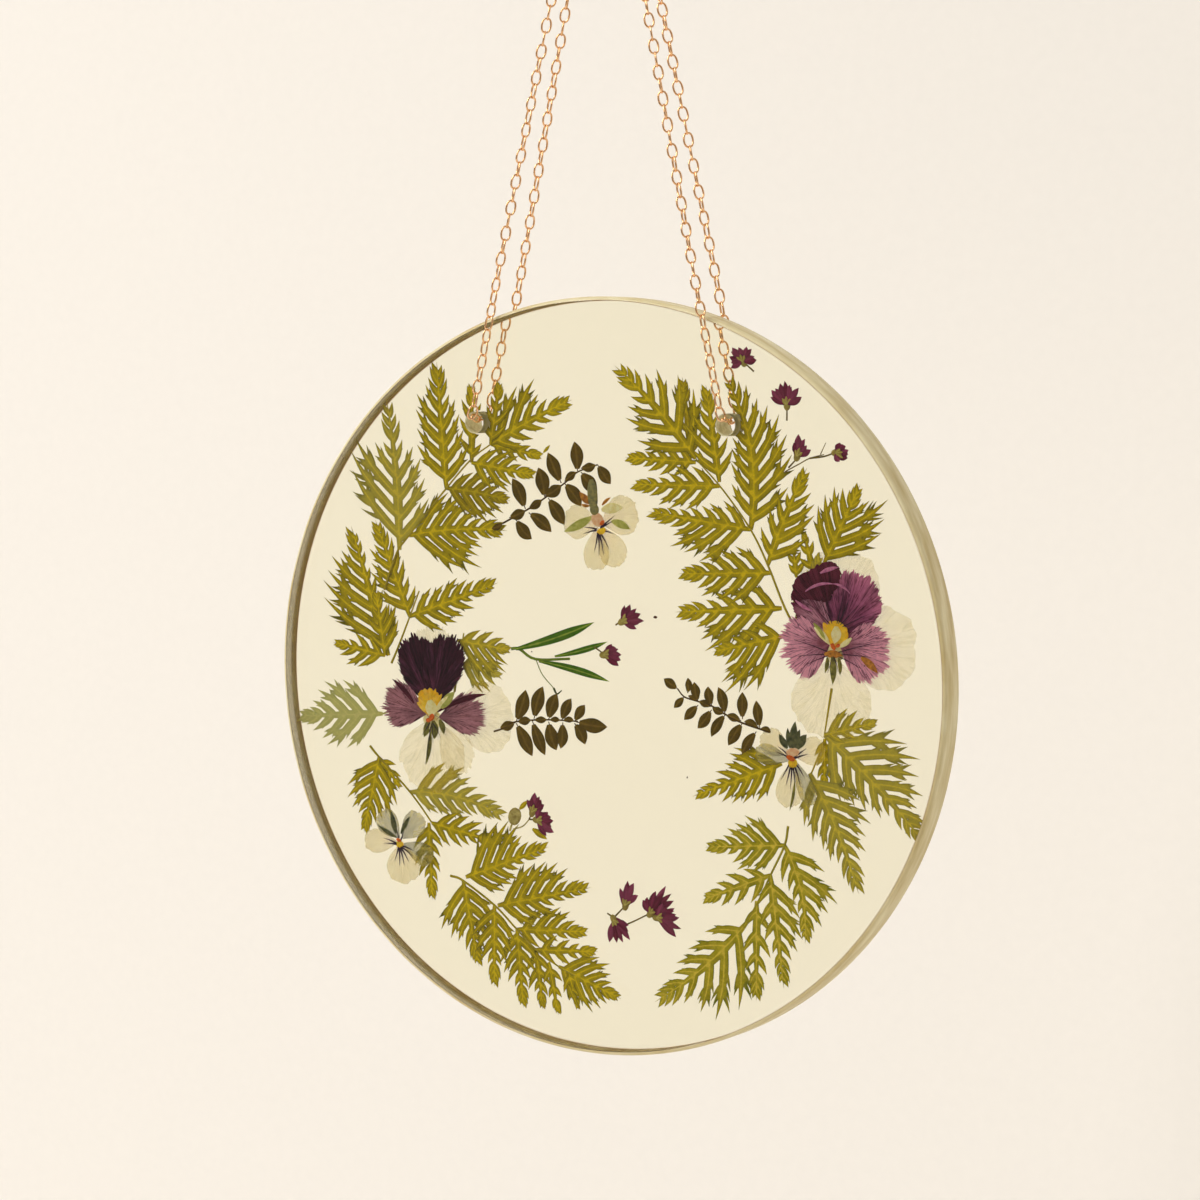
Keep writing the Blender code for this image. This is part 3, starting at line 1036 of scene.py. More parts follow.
def add_leaf(body, base, tip, width, depth, bow=0.0, belly=0.45, tone=(0.0, 0.0), cup=0.12):
    """A simple leaf with a midvein, a little domed."""
    axis = bent_axis(base, tip, bow, 14)
    outline = blade_outline(axis, width / 2, belly, 1.9, 0.3)
    inner = blade_outline(axis, width / 4, belly, 1.9, 0.3)
    spots, triangles, _ = cut_shape([outline], [axis, inner[:15], inner[15:]])
    midvein = vein_distance(spots, [axis])
    depths = [depth - cup * cos(min(1.0, gap / width * 2) * pi / 2) for gap in midvein]
    halves = [0.11 - 0.06 * min(1.0, gap / width * 2) for gap in midvein]
    way = axis[-1] - axis[0]
    grain = [(min(1.0, gap / width * 2), (spot - axis[0]).dot(way) / way.length_squared)
             for spot, gap in zip(spots, midvein)]
    thin_solid(body, spots, triangles, depths, halves, grain, tone)


def make_sprig(sprig, material):
    body = Body()
    random = Random(sprig.name)
    stem(body, sprig.rachis, sprig.depth, 0.55, 0.4, (0.0, 0.9))
    for n, (base, tip) in enumerate(sprig.leaflets):
        way = Vector(tip) - Vector(base)
        foot = Vector(base) + way * 0.10
        stem(body, [base, foot, foot + way * 0.1], sprig.depth, 0.3, 0.3, (0.0, 0.9))
        width = min(sprig.width, way.length * 0.52) * random.uniform(0.9, 1.1)
        add_leaf(body, foot, tip, width, sprig.depth - 0.1 + 0.1 * (n % 2),
                 random.uniform(-0.4, 0.4), 0.5)
    body.piece(sprig.name, material)


def make_blades(material):
    """The bright green sprig of grass-like blades at the middle."""
    body = Body()
    stem(body, ((-27.5, 6.5), (-25, 6.5), (-20, 4), (-9.5, 4.5)), 3.2, 0.9, 0.7, (0.25, 0.0))
    add_leaf(body, (-26, 6.5), (-2, 14.5), 2.7, 3.0, -0.6, 0.62)
    add_leaf(body, (-14, 5), (2, 9.5), 1.7, 3.1, -0.4, 0.6)
    add_leaf(body, (-19, 3.5), (2.5, -1), 2.1, 3.3, 0.5, 0.6)
    stem(body, ((-20, 4), (-18, 0), (-14.5, -3.5)), 3.3, 0.3, 0.25, (0.4, 0.3))
    stem(body, ((-14.5, -3.5), (-13.5, -5), (-12, -4)), 3.3, 0.7, 0.3, (0.0, 0.9))
    body.piece("green_blades", material)


# ---------------------------------------------------------------- petals

Petal = namedtuple("Petal", "name finish base tip spread fullness depth ragged fringe", defaults=(0.03, 0.0))


def add_petal(body, petal, seed, folds=0.12):
    """A fan of a petal from its claw: its reach falls away to each side, with a torn or waved
    edge and shallow folds along it."""
    base, tip = Vector(petal.base), Vector(petal.tip)
    way = tip - base
    length = way.length
    heading = atan2(way.y, way.x)
    across_count, along_count = (150, 10) if petal.fringe else (44, 10)
    spots, grain, depths, halves = [], [], [], []
    for row in range(along_count + 1):
        share = row / along_count
        for column in range(across_count + 1):
            aside = column / across_count * 2 - 1
            reach = cos(pi / 2 * abs(aside) ** 1.15) ** petal.fullness
            reach *= 1 + petal.ragged * noise.noise(Vector((aside * 9, seed, 0.3))) * 2
            reach *= 1 + petal.ragged * noise.noise(Vector((aside * 34, seed, 7.3)))
            nicks = abs(noise.noise(Vector((aside * 38, seed, 2.1))))
            nicks += abs(noise.noise(Vector((aside * 61, 8.4, seed))))
            reach -= petal.fringe / length * nicks * 1.5
            swell = share ** 0.85
            angle = heading - aside * radians(petal.spread) * (0.35 + 0.65 * share ** 0.5)
            far = 0.35 + (length * reach - 0.35) * swell
            spots.append(base + Vector((cos(angle), sin(angle))) * far)
            grain.append((aside * 0.5 + 0.5, share * min(1.0, reach + 0.1)))
            fold = sin(aside * 11 + seed) + 0.6 * sin(aside * 23 + seed * 2)
            depths.append(petal.depth + folds * fold * share * (1 - 0.5 * share))
            halves.append(0.05)
    faces = []
    width = across_count + 1
    for row in range(along_count):
        for column in range(across_count):
            low = row * width + column
            faces.append((low + width, low + width + 1, low + 1))
            faces.append((low + width, low + 1, low))
    thin_solid(body, spots, faces, depths, halves, grain)


def make_petals(flower, petals, materials):
    for number, petal in enumerate(petals):
        body = Body()
        add_petal(body, petal, number * 3.7 + len(flower))
        body.piece(f"{flower}_{petal.name}", materials[petal.finish])


VIOLAS = {
    "dark_viola": (
        Petal("back_petal", "cream_thin", (-46, -13), (-27.5, -12), 62, 0.42, 4.4),
        Petal("fringe_petal", "cream_thin", (-53, -9), (-53, 12), 52, 0.42, 4.4, 0.04, 1.0),
        Petal("low_petal", "cream_thin", (-52.5, -13), (-52.5, -33), 62, 0.38, 3.5, 0.04),
        Petal("fold_petal", "cream_thin", (-50, -14), (-42, -27), 38, 0.4, 3.8, 0.05),
        Petal("upper_left_petal", "dark", (-53.2, -9.5), (-59.8, 9.4), 50, 0.92, 3.0, 0.02, 1.6),
        Petal("upper_right_petal", "dark", (-52.2, -9.5), (-46.0, 10), 50, 0.92, 2.8, 0.02, 1.6),
        Petal("left_petal", "plum", (-54, -12.3), (-69, -8.7), 44, 0.26, 2.5, 0.04, 2.2),
        Petal("right_petal", "plum", (-50.3, -13), (-34.6, -10.6), 40, 0.26, 2.5, 0.04, 2.2),
    ),
    "light_viola": (
        Petal("rim_petal", "cream_thin", (68, 14), (70, 35.5), 62, 0.36, 4.5),
        Petal("side_petal", "cream_thin", (70, 11), (90.5, 10.5), 62, 0.40, 4.5),
        Petal("low_petal", "cream_thin", (67.5, 8), (66.5, -13), 62, 0.34, 4.4),
        Petal("upper_left_petal", "wine", (68, 13), (60.5, 28.5), 52, 0.34, 3.0, 0.03, 1.2),
        Petal("upper_right_petal", "violet", (69, 13), (77, 29.5), 50, 0.34, 2.8, 0.03, 1.2),
        Petal("left_petal", "mauve", (67.2, 11.5), (52.2, 9.2), 58, 0.24, 2.5, 0.04, 1.8),
        Petal("right_petal", "mauve", (69.8, 11.5), (84.2, 8), 58, 0.24, 2.5, 0.04, 1.8),
    ),
    "top_small_viola": (
        Petal("left_petal", "cream", (-1, 40), (-11, 41.5), 50, 0.34, 3.0),
        Petal("right_petal", "cream", (0, 40.5), (11, 44.5), 50, 0.34, 3.0),
        Petal("low_left_petal", "cream", (-1, 40), (-1.5, 28.3), 36, 0.36, 2.9, 0.02),
        Petal("low_right_petal", "cream", (0, 40), (5.8, 29.8), 38, 0.36, 2.8, 0.02),
    ),
    "right_small_viola": (
        Petal("upper_left_petal", "cream", (55.5, -17.5), (47.5, -12.6), 42, 0.36, 3.1),
        Petal("left_petal", "grey", (56, -19), (45.8, -17), 30, 0.5, 3.0),
        Petal("right_petal", "cream", (57, -18), (65.5, -15), 46, 0.36, 3.0),
        Petal("low_petal", "cream", (56.5, -18.5), (55.2, -31), 32, 0.32, 2.8, 0.02),
        Petal("low_right_petal", "grey", (57, -18.5), (62.2, -30), 22, 0.4, 2.9, 0.04),
    ),
    "left_small_viola": (
        Petal("upper_left_petal", "grey", (-63, -47), (-69.5, -40), 40, 0.4, 3.1),
        Petal("upper_right_petal", "grey", (-62.5, -47), (-56, -40), 42, 0.4, 3.1),
        Petal("left_petal", "cream", (-63.5, -48), (-74.5, -48), 34, 0.4, 3.0),
        Petal("low_petal", "cream", (-63, -48), (-61, -59), 54, 0.36, 2.8, 0.03),
        Petal("right_petal", "grey", (-62, -48), (-52.5, -52), 34, 0.4, 2.9),
    ),
}


def make_eye(name, centre, size, depth, material, tip):
    """The yellow eye of a viola, a small ragged fan."""
    body = Body()
    base = Vector(centre)
    aim = (Vector(tip) - base).normalized()
    fan = Petal("", "", base - aim * size * 0.5, base + aim * size, 62, 0.35, depth, 0.10)
    add_petal(body, fan, size, 0.05)
    body.piece(name, material)


def add_bead(body, centre, radii, depth, tone=(0.0, 0.0), turn=0.0):
    """A flattened round bead, its radii in millimetres: along, across and thick."""
    rings, sides = 8, 14
    points, faces = [], []
    for ring in range(1, rings):
        tilt = pi * ring / rings
        for side in range(sides):
            angle = 2 * pi * side / sides
            x = radii[0] * cos(tilt)
            y = radii[1] * sin(tilt) * cos(angle)
            z = radii[2] * sin(tilt) * sin(angle)
            spin = Matrix.Rotation(turn, 2) @ Vector((x, y))
            points.append(at(centre[0] + spin.x, centre[1] + spin.y, depth + z))
    for ring in range(rings - 2):
        for side in range(sides):
            after = (side + 1) % sides
            near, far = ring * sides, (ring + 1) * sides
            faces.append((near + side, near + after, far + after, far + side))
    faces.append(tuple(range(sides))[::-1])
    faces.append(tuple(range((rings - 2) * sides, (rings - 1) * sides)))
    body.add(points, faces, tone=tone)


# Where each viola's heart is: its finish, its place, and half its length and width.
HEARTS = (
    ("orange", (-52.3, -13.0), (1.1, 0.8)), ("orange", (-53.4, -13.9), (0.8, 0.6)),
    ("orange", (68.1, 10.8), (1.0, 0.6)), ("orange", (69.5, 11.1), (0.7, 0.5)),
    ("yolk", (68.8, 14.6), (3.0, 2.8)), ("blush", (-0.8, 41.6), (2.1, 1.7)),
    ("orange", (0.7, 40.8), (0.9, 0.55)), ("yolk", (0.4, 38.6), (1.5, 0.9)),
    ("blush", (56.7, -16.9), (2.0, 1.3)), ("orange", (56.2, -18.3), (1.3, 0.7)),
    ("yolk", (56.7, -19.6), (1.4, 1.3)), ("yolk", (-62.8, -48.4), (1.3, 1.0)),
    ("orange", (-63.1, -47.2), (0.8, 0.5)),
)


def add_scrap(body, corners, heart, depth):
    """A folded scrap of petal inside its corners, with its grain fanning out from the heart."""
    outline = smooth_line([*corners, corners[0]], 8)[:-1]
    for n, spot in enumerate(outline):
        spot += Vector((noise.noise(Vector((n * 0.9, 1.3, 0))), noise.noise(Vector((n * 0.9, 5.1, 0))))) * 0.7
    middle = sum(outline, Vector((0, 0))) / len(outline)
    rays = [[middle.lerp(spot, share) for share in (0.0, 0.35, 0.7)] for spot in outline[::4]]
    spots, triangles, _ = cut_shape([outline], rays)
    grain = []
    for spot in spots:
        way = spot - Vector(heart)
        grain.append((atan2(way.y, way.x) / pi, min(1.0, way.length / 20)))
    depths = [depth + 0.15 * noise.noise(Vector((spot.x * 0.5, spot.y * 0.5, 2.0))) for spot in spots]
    thin_solid(body, spots, triangles, depths, [0.06] * len(spots), grain)


# The light viola's petal edge that folds over, and the bright creases on its petals: each
# crease's base, tip, width and bow.
FOLDED_PETAL = (
    (61, 22.6), (66.6, 22.3), (68, 24.4), (70, 28.6), (69.2, 31.2), (66.8, 32.4), (60, 29.6), (57, 27),
    (56.2, 22.2),
)
CREASES = (
    ((60.2, 24.6), (68.4, 26.7), 0.8, 0.9), ((68, 26.8), (72.8, 24.4), 0.7, 0.6),
    ((64.4, 29.4), (69.6, 31), 1.1, 0.3), ((57.4, 22.3), (62.4, 19.6), 0.9, -0.3),
)


def make_violas(materials):
    for flower, petals in VIOLAS.items():
        make_petals(flower, petals, materials)
    make_eye("dark_viola_eye", (-52.9, -10.4), 5.0, 2.3, materials["yolk"], (-53, -5))
    make_eye("light_viola_eye", (68.7, 12.6), 4.4, 2.3, materials["yolk"], (68.9, 18))
    for finish in ("orange", "blush", "yolk"):
        hearts = Body()
        depth = 2.1 if finish == "orange" else 2.35
        for kind, place, (long, wide) in HEARTS:
            if kind == finish:
                add_bead(hearts, place, (long, wide, 0.3), depth, turn=place[0])
        hearts.piece(f"{finish}_hearts", materials[finish])
    folded = Body()
    add_scrap(folded, FOLDED_PETAL, (68.5, 14), 2.35)
    folded.piece("light_viola_folded_edge", materials["maroon"])
    creases = Body()
    for base, tip, width, bow in CREASES:
        add_leaf(creases, base, tip, width, 2.2, bow, 0.45)
    creases.piece("light_viola_creases", materials["crease"])
    edge = Body()
    add_leaf(edge, (-50.5, -11.5), (-35, -6), 1.5, 2.3, 0.8, 0.6)
    add_leaf(edge, (-58, -9.5), (-65, -3.2), 1.4, 2.3, -0.4, 0.5)
    edge.piece("dark_viola_folded_edge", materials["maroon"])


# Fine nectar lines, each from the heart outwards.
LINES = {
    "dark_viola_lines": ((-52.5, -14), ((-54.5, -26), (-52, -20), (-55.5, -18), (-49.5, -18.5))),
    "light_viola_lines": ((68, 9), (
        (68, 1), (66.5, 4), (69.5, 4.5), (57, 12.2), (58, 8), (60.5, 6), (79, 12), (78.5, 8.5), (76, 5.5))),
    "light_viola_upper_lines": ((68.7, 15), (
        (62, 21), (64.5, 22), (72.5, 23), (75, 21.5), (77, 19), (71, 25))),
    "top_small_viola_lines": ((-0.5, 39), (
        (-1.8, 33), (-0.4, 32), (1, 32.5), (2.6, 34), (-5, 37.8), (-4.6, 39.5), (4, 41.4), (4.4, 42.8),
        (4, 38))),
    "right_small_viola_lines": ((56.5, -18.5), (
        (53.3, -24), (54.7, -25.5), (56, -26.3), (57.4, -26), (58.8, -25), (60, -23), (52, -17),
        (52.3, -15.4), (61, -17), (60.5, -15.6))),
    "left_small_viola_lines": ((-63, -48.5), (
        (-64.5, -53), (-63, -54.3), (-61.4, -54.2), (-60, -53), (-58.8, -51.5), (-58.5, -49.8),
        (-68, -48.4), (-68, -47), (-63.8, -44.5), (-61.6, -44.6))),
}


def make_lines(materials):
    for name, (heart, tips) in LINES.items():
        body = Body()
        for tip in tips:
            start = Vector(heart).lerp(Vector(tip), 0.14)
            middle = start.lerp(Vector(tip), 0.5) + Vector((0.12, 0.1))
            small = "small" in name
            stem(body, [start, middle, tip], 2.42 if small else 2.3, 0.62 if small else 0.3, 0.1)
        body.piece(name, materials["ink"])


# Sepals and the like: their finish, and leaves from base to tip with a width and a depth.
SEPALS = {
    "dark_viola_green_sepal": ("young", (((-49.2, -10.4), (-44.9, -5.8), 2.6, 2.15),)),
    "dark_viola_throat": ("throat", (
        ((-53.0, -8.4), (-52.4, -13.2), 3.6, 2.2), ((-51, -11.5), (-47, -7), 1.5, 2.1),
        ((-52.6, -11), (-52.3, -17), 6.0, 2.75))),
    "dark_viola_foot": ("sepal", (
        ((-53.6, -14), (-55, -18.6), 2.2, 2.7), ((-52, -14), (-51.6, -19), 2.6, 2.6),
        ((-50, -13.6), (-48.6, -17.5), 1.8, 2.7), ((-53, -17), (-54.4, -26), 1.4, 3.0))),
    "light_viola_throat": ("throat", (
        ((69.0, 16.0), (68.5, 11.6), 2.8, 2.0), ((68.6, 12.6), (67.6, 6.4), 6.4, 2.75),
        ((62.8, 15.6), (67.2, 11.2), 1.8, 2.2), ((73.2, 13.2), (69.4, 10.6), 1.4, 2.2))),
    "light_viola_sepal": ("young", (((62.6, 16.6), (66, 12.4), 1.1, 2.1),)),
    "light_viola_foot": ("amber", (
        ((65.6, 8.8), (70.8, 8.6), 2.0, 2.35), ((76, 8.4), (80.6, 4.6), 2.0, 2.2))),
    "light_viola_stamens": ("sepal", (
        ((67.8, 8.2), (68, 1.2), 1.9, 2.4), ((66.4, 8), (65.8, 4), 1.2, 2.4),
        ((69.6, 8), (70, 3.6), 1.2, 2.4))),
    "top_small_viola_stamens": ("amber", (
        ((-3, 45.8), (-6.2, 48.8), 2.0, 2.5), ((-3.2, 45.2), (-5.8, 45.6), 0.9, 2.5),
        ((0.6, 45.4), (3.2, 47.5), 0.9, 2.5))),
    "top_small_viola_patch": ("throat", (((0.4, 44.2), (6.8, 44.8), 2.8, 2.7),)),
    "top_small_viola_sepals": ("young", (
        ((-2.6, 42.2), (-11, 38.2), 2.4, 2.6), ((3.4, 41.3), (9, 39.3), 2.1, 2.6))),
    "right_small_viola_sepals": ("dark_sepal", (
        ((56.7, -15.8), (57.4, -8.8), 2.3, 2.5), ((55.2, -15.8), (52.8, -12.2), 1.8, 2.55),
        ((58, -15.8), (60.6, -12), 2.4, 2.55), ((57.2, -15.7), (58.7, -10.8), 1.8, 2.6),
        ((56, -15.7), (55.2, -10.6), 1.5, 2.6))),
    "right_small_viola_stem": ("sepal", (((57.3, -24.4), (55.9, -31.8), 0.8, 2.4),)),
    "left_small_viola_sepals": ("dark_sepal", (
        ((-64, -45.5), (-65.5, -39.5), 1.7, 2.6), ((-62.5, -45.5), (-59.5, -40.5), 1.3, 2.6),
        ((-64, -46.5), (-70, -43.5), 1.2, 2.6))),
}


def make_sepals(materials):
    for name, (finish, leaves) in SEPALS.items():
        body = Body()
        for base, tip, width, depth in leaves:
            add_leaf(body, base, tip, width, depth, 0.2, 0.45)
        body.piece(name, materials[finish])
    tube = Body()
    add_bead(tube, (-2.3, 48), (4.5, 1.55, 0.5), 2.4, turn=radians(95))
    add_bead(tube, (-1.7, 44.2), (1.5, 1.4, 0.45), 2.3, turn=radians(95))
    tube.piece("top_small_viola_tube", materials["tube"])


# ---------------------------------------------------------------- florets and buds

# Each floret: name, its stalk's stops, the calyx's place, and the tips of its petals.
FLORETS = (
    ("floret_bottom_a", ((4.5, -63), (5.5, -62), (7.5, -60)), (7.5, -60),
     ((9.5, -53), (6.5, -54.5), (11, -56))),
    ("floret_bottom_b", ((2, -62.5), (4, -63.5)), (4, -64), ((8, -69.5), (4, -70), (9, -66))),
    ("floret_bottom_c", ((4, -66.5), (9, -64.5), (14, -62)), (15, -61.5),
     ((20.5, -54.5), (22.5, -58.5), (13.5, -57.5), (17.5, -55.5))),
    ("floret_bottom_d", ((14, -62), (16, -62.5)), (17, -62.5),
     ((23.5, -60), (25, -63.5), (23.5, -66), (20, -58.5))),
    ("floret_top_a", ((45, 80.5), (42.5, 82.5)), (42, 83),
     ((38, 85), (39.5, 87), (44, 87), (46, 84), (38.5, 82))),
    ("floret_top_b", ((54.5, 68), (54.5, 71)), (54.5, 72),
     ((49.5, 75), (52, 77), (54.5, 78), (57, 77), (59, 75.5))),
    ("floret_top_c", ((55, 56), (57, 58)), (57.5, 59), ((59, 64.5), (61, 61.5), (57, 63))),
    ("floret_top_d", ((61, 58.5), (65, 59), (68, 60)), (68.5, 60),
     ((72, 61.5), (72.5, 59), (70, 62.5), (70, 58))),
    ("floret_middle_a", ((4.5, 14), (6, 15)), (6.5, 15), ((10, 19.5), (13.5, 17), (12, 14), (8, 19))),
    ("floret_middle_b", ((-2, 8), (0.5, 6.5)), (1, 6), ((6.5, 7), (4.5, 9), (6.5, 4))),
    ("floret_left_a", ((-22, -39), (-21.5, -38)), (-21, -37), ((-19.5, -32), (-17.5, -34), (-22, -33))),
    ("floret_left_b", ((-22, -39), (-20, -39)), (-19.5, -39),
     ((-14, -40), (-15, -37), (-15, -43), (-18, -36))),
)

# Loose flakes on the disc: across and up from its middle, and half their length.
FLAKES = ((16.5, 16.5, 0.6), (26, -25, 0.3), (-21, 6, 0.25), (77, 6.5, 0.8), (79, 5.5, 0.6))


def make_florets(materials):
    for name, stalk, calyx, tips in FLORETS:
        random = Random(name)
        heart = Vector(calyx)
        body = Body()
        stem(body, stalk, 3.0, 0.5, 0.4, (0.0, 0.85))
        aim = (sum((Vector(tip) for tip in tips), Vector((0, 0))) / len(tips) - heart).normalized()
        add_bead(body, calyx, (1.5, 1.0, 0.5), 3.0, turn=atan2(aim.y, aim.x))
        for swing in (-38, 0, 34):
            point = Matrix.Rotation(radians(swing), 2) @ aim
            add_leaf(body, heart, heart + point * random.uniform(1.6, 2.4), 1.1, 2.55, cup=0.2)
        body.piece(f"{name}_calyx", materials["calyx"])
        petals = Body()
        reach = sum((Vector(tip) - heart).length for tip in tips) / len(tips)
        foot, top = heart - aim * 0.4, heart + aim * reach * 0.74
        add_leaf(petals, foot, top, reach * 0.62, 2.95, 0.2, 0.5, (0.0, 0.15))
        for n, tip in enumerate(tips):
            way = Vector(tip) - heart
            for turn in (random.uniform(-13, -7), random.uniform(5, 12)):
                point = Matrix.Rotation(radians(turn), 2) @ way * random.uniform(0.82, 1.04)
                tone = (random.uniform(0, 0.35), random.uniform(0, 0.3))
                width = random.uniform(1.5, 2.3)
                bow = random.uniform(-0.3, 0.3)
                depth = 2.9 - 0.08 * n
                add_leaf(petals, heart + point * 0.12, heart + point, width, depth, bow, 0.5, tone, 0.2)
        petals.piece(f"{name}_petals", materials["bud"])


def make_small_bits(materials):
    body = Body()
    add_bead(body, (-26.5, -38.5), (2.5, 2.0, 0.6), 3.0, turn=1.2)
    stem(body, ((-28, -42.5), (-27.5, -41), (-26.5, -39)), 3.0, 0.7, 0.5)
    stem(body, ((-27, -42), (-24, -41), (-22, -39)), 3.1, 0.4, 0.35)
    body.piece("round_seed_bud", materials["seed"])
    leaf = Body()
    add_leaf(leaf, (-21, -41.5), (-16.5, -44), 1.9, 3.2)
    add_leaf(leaf, (-25, -36.5), (-22.5, -34), 1.4, 3.1)
    add_leaf(leaf, (-17.5, 59), (-15.5, 61), 0.9, 3.2)
    leaf.piece("loose_green_leaf", materials["green"])
    twig = Body()
    stem(twig, ((54, 55), (58, 57), (61, 58.5), (65, 59.5)), 3.1, 0.35, 0.3, (0.0, 0.8))
    stem(twig, ((64, 59.5), (65.5, 62.5)), 3.1, 0.3, 0.2, (0.0, 0.8))
    twig.piece("floret_twig", materials["calyx"])
    flakes = Body()
    for n, (x, z, size) in enumerate(FLAKES):
        add_bead(flakes, (x, z), (size, size * 0.6, 0.12), 2.6, turn=n * 1.3)
    flakes.piece("loose_flakes", materials["bark"])


# ---------------------------------------------------------------- operators


def settings_of(context):
    return context.scene.flower_disc


def make_material(name, maker, *values):
    """The named material, made once."""
    return bpy.data.materials.get(name) or maker(name, *values)


# Small dry parts: their keys, their materials' names, and a light and a dark colour.
DRY_PARTS = (
    ("crease", "petal_crease", (232, 150, 196), (176, 92, 140)),
    ("throat", "pale_throat", (255, 250, 204), (240, 224, 142)),
    ("young", "young_sepal", (208, 208, 116), (160, 166, 72)),
    ("amber", "amber_stamen", (226, 156, 54), (150, 88, 34)),
    ("tube", "dry_tube", (170, 160, 92), (104, 106, 80)),
    ("blush", "blush_heart", (248, 214, 176), (232, 170, 128)),
    ("dark_sepal", "dark_sepal", (112, 112, 72), (60, 66, 44)),
    ("orange", "orange_heart", (250, 128, 44), (206, 84, 30)),
    ("ink", "nectar_line", (66, 42, 66), (32, 20, 38)),
    ("sepal", "sepal", (150, 144, 66), (86, 86, 40)),
    ("seed", "seed_bud", (214, 200, 124), (146, 128, 72)),
    ("bark", "dry_flake", (96, 58, 36), (52, 30, 22)),
)


def leaf_finishes(leaves, bud):
    """By key: the material's name, its vein, blade, edge and faded colours, and any flecking."""
    faded = srgb(206, 200, 116)
    light_vein = Vector(leaves.vein).lerp(Vector((1, 1, 1)), 0.06)
    return {
        "green": ("frond_green", leaves.vein, leaves.blade, leaves.edge, faded),
        "olive": ("frond_olive", light_vein, srgb(176, 164, 18), srgb(116, 122, 22), faded, 0.5),
        "pale": ("frond_pale", srgb(205, 200, 110), srgb(178, 182, 78), srgb(138, 150, 58),
                 srgb(228, 222, 160)),
        "grass": ("grass_green", srgb(150, 172, 60), leaves.grass, Vector(leaves.grass) * 0.7,
                  srgb(190, 190, 90), 0.15),
        "leaflet": ("dark_leaflet", srgb(128, 100, 30), leaves.leaflet, Vector(leaves.leaflet) * 0.7,
                    srgb(120, 110, 60), 0.25),
        "calyx": ("calyx", srgb(204, 192, 108), srgb(168, 150, 78), srgb(132, 96, 60), srgb(196, 190, 120)),
        "bud": ("floret_petal", bud * 1.5, bud, bud * 0.35, srgb(190, 96, 140), 0.4),
    }


def petal_finishes(flowers):
    """By key: the material's name, its colours at the claw, middle and edge, its streaks' and
    veins' colours, how many streaks, its alpha, and how strongly streaks and veins show."""
    dark, plum = Vector(flowers.dark), Vector(flowers.plum)
    mauve, cream = Vector(flowers.mauve), Vector(flowers.cream)
    return {
        "dark": ("dark_petal", dark * 1.5, dark * 1.2, dark * 1.5, srgb(112, 54, 86), dark * 0.3,
                 20.0, 1.0, (0.5, 0.9)),
        "plum": ("plum_petal", plum * 0.6, plum, plum * 0.85, plum * 0.5, dark, 22.0, 1.0, (0.45, 0.95)),
        "wine": ("wine_petal", mauve * 0.8, mauve * 0.7, srgb(124, 46, 80), srgb(108, 38, 70), dark,
                 20.0, 1.0, (0.7, 0.95)),
        "violet": ("violet_petal", srgb(138, 68, 102), srgb(156, 80, 122), srgb(206, 118, 160),
                   srgb(76, 26, 54), dark, 24.0, 1.0, (0.85, 0.95)),
        "maroon": ("maroon_petal", srgb(82, 22, 38), srgb(72, 20, 34), srgb(92, 28, 48),
                   srgb(128, 52, 78), dark * 0.4, 60.0, 1.0, (0.45, 0.8)),
        "mauve": ("mauve_petal", srgb(142, 74, 96), mauve, mauve * 1.06, mauve * 0.6, srgb(84, 28, 60),
                  26.0, 1.0, (0.35, 1.0)),
        "cream": ("cream_petal", srgb(255, 206, 60), cream, cream * 0.94, cream * 0.9, srgb(224, 196, 84),
                  14.0, 0.26, (0.2, 0.3)),
        "cream_thin": ("thin_cream_petal", cream, cream, cream * 0.94, cream * 0.9, srgb(226, 200, 90),
                       12.0, 0.14, (0.15, 0.25)),
        "grey": ("grey_petal", srgb(140, 140, 96), srgb(212, 200, 104), srgb(228, 212, 120),
                 srgb(150, 144, 66), srgb(112, 108, 58), 14.0, 0.42, (0.8, 0.6)),
        "yolk": ("yellow_eye", srgb(255, 208, 60), flowers.yolk, srgb(255, 196, 34), srgb(255, 220, 110),
                 srgb(214, 130, 26), 12.0, 1.0, (0.5, 0.5)),
    }


def plant_materials(settings):
    """Every specimen's material by its key."""
    made = {}
    for key, (name, *values) in leaf_finishes(settings.leaves, Vector(settings.flowers.bud)).items():
        made[key] = make_material(name, leaf_material, *values)
    for key, (name, *values) in petal_finishes(settings.flowers).items():
        made[key] = make_material(name, petal_material, *values)
    for key, name, light, dark in DRY_PARTS:
        made[key] = make_material(name, plain_material, srgb(*light), srgb(*dark))
    return made


class FLOWERDISC_OT_chains(bpy.types.Operator):
    """Two loops of fine chain, each from the ring, through its hole and back"""

    bl_idname = "flower_disc.chains"
    bl_label = "Chains"

    def execute(self, context):
        settings = settings_of(context)
        gold = make_material("gold_plating", gold_material, settings.metal.gold)
        make_chain(-1, "left", settings.metal, gold)
        make_chain(1, "right", settings.metal, gold)
        return {"FINISHED"}


class FLOWERDISC_OT_ring(bpy.types.Operator):
    """The gold finish of the ring that the chains hang from"""

    bl_idname = "flower_disc.ring"
    bl_label = "Hanging ring"

    def execute(self, context):
        metal = settings_of(context).metal
        gold = make_material("gold_plating", gold_material, metal.gold)
        ring = bpy.data.objects["hanging_ring"]
        for holder in ring.material_slots:
            holder.material = gold
        return {"FINISHED"}


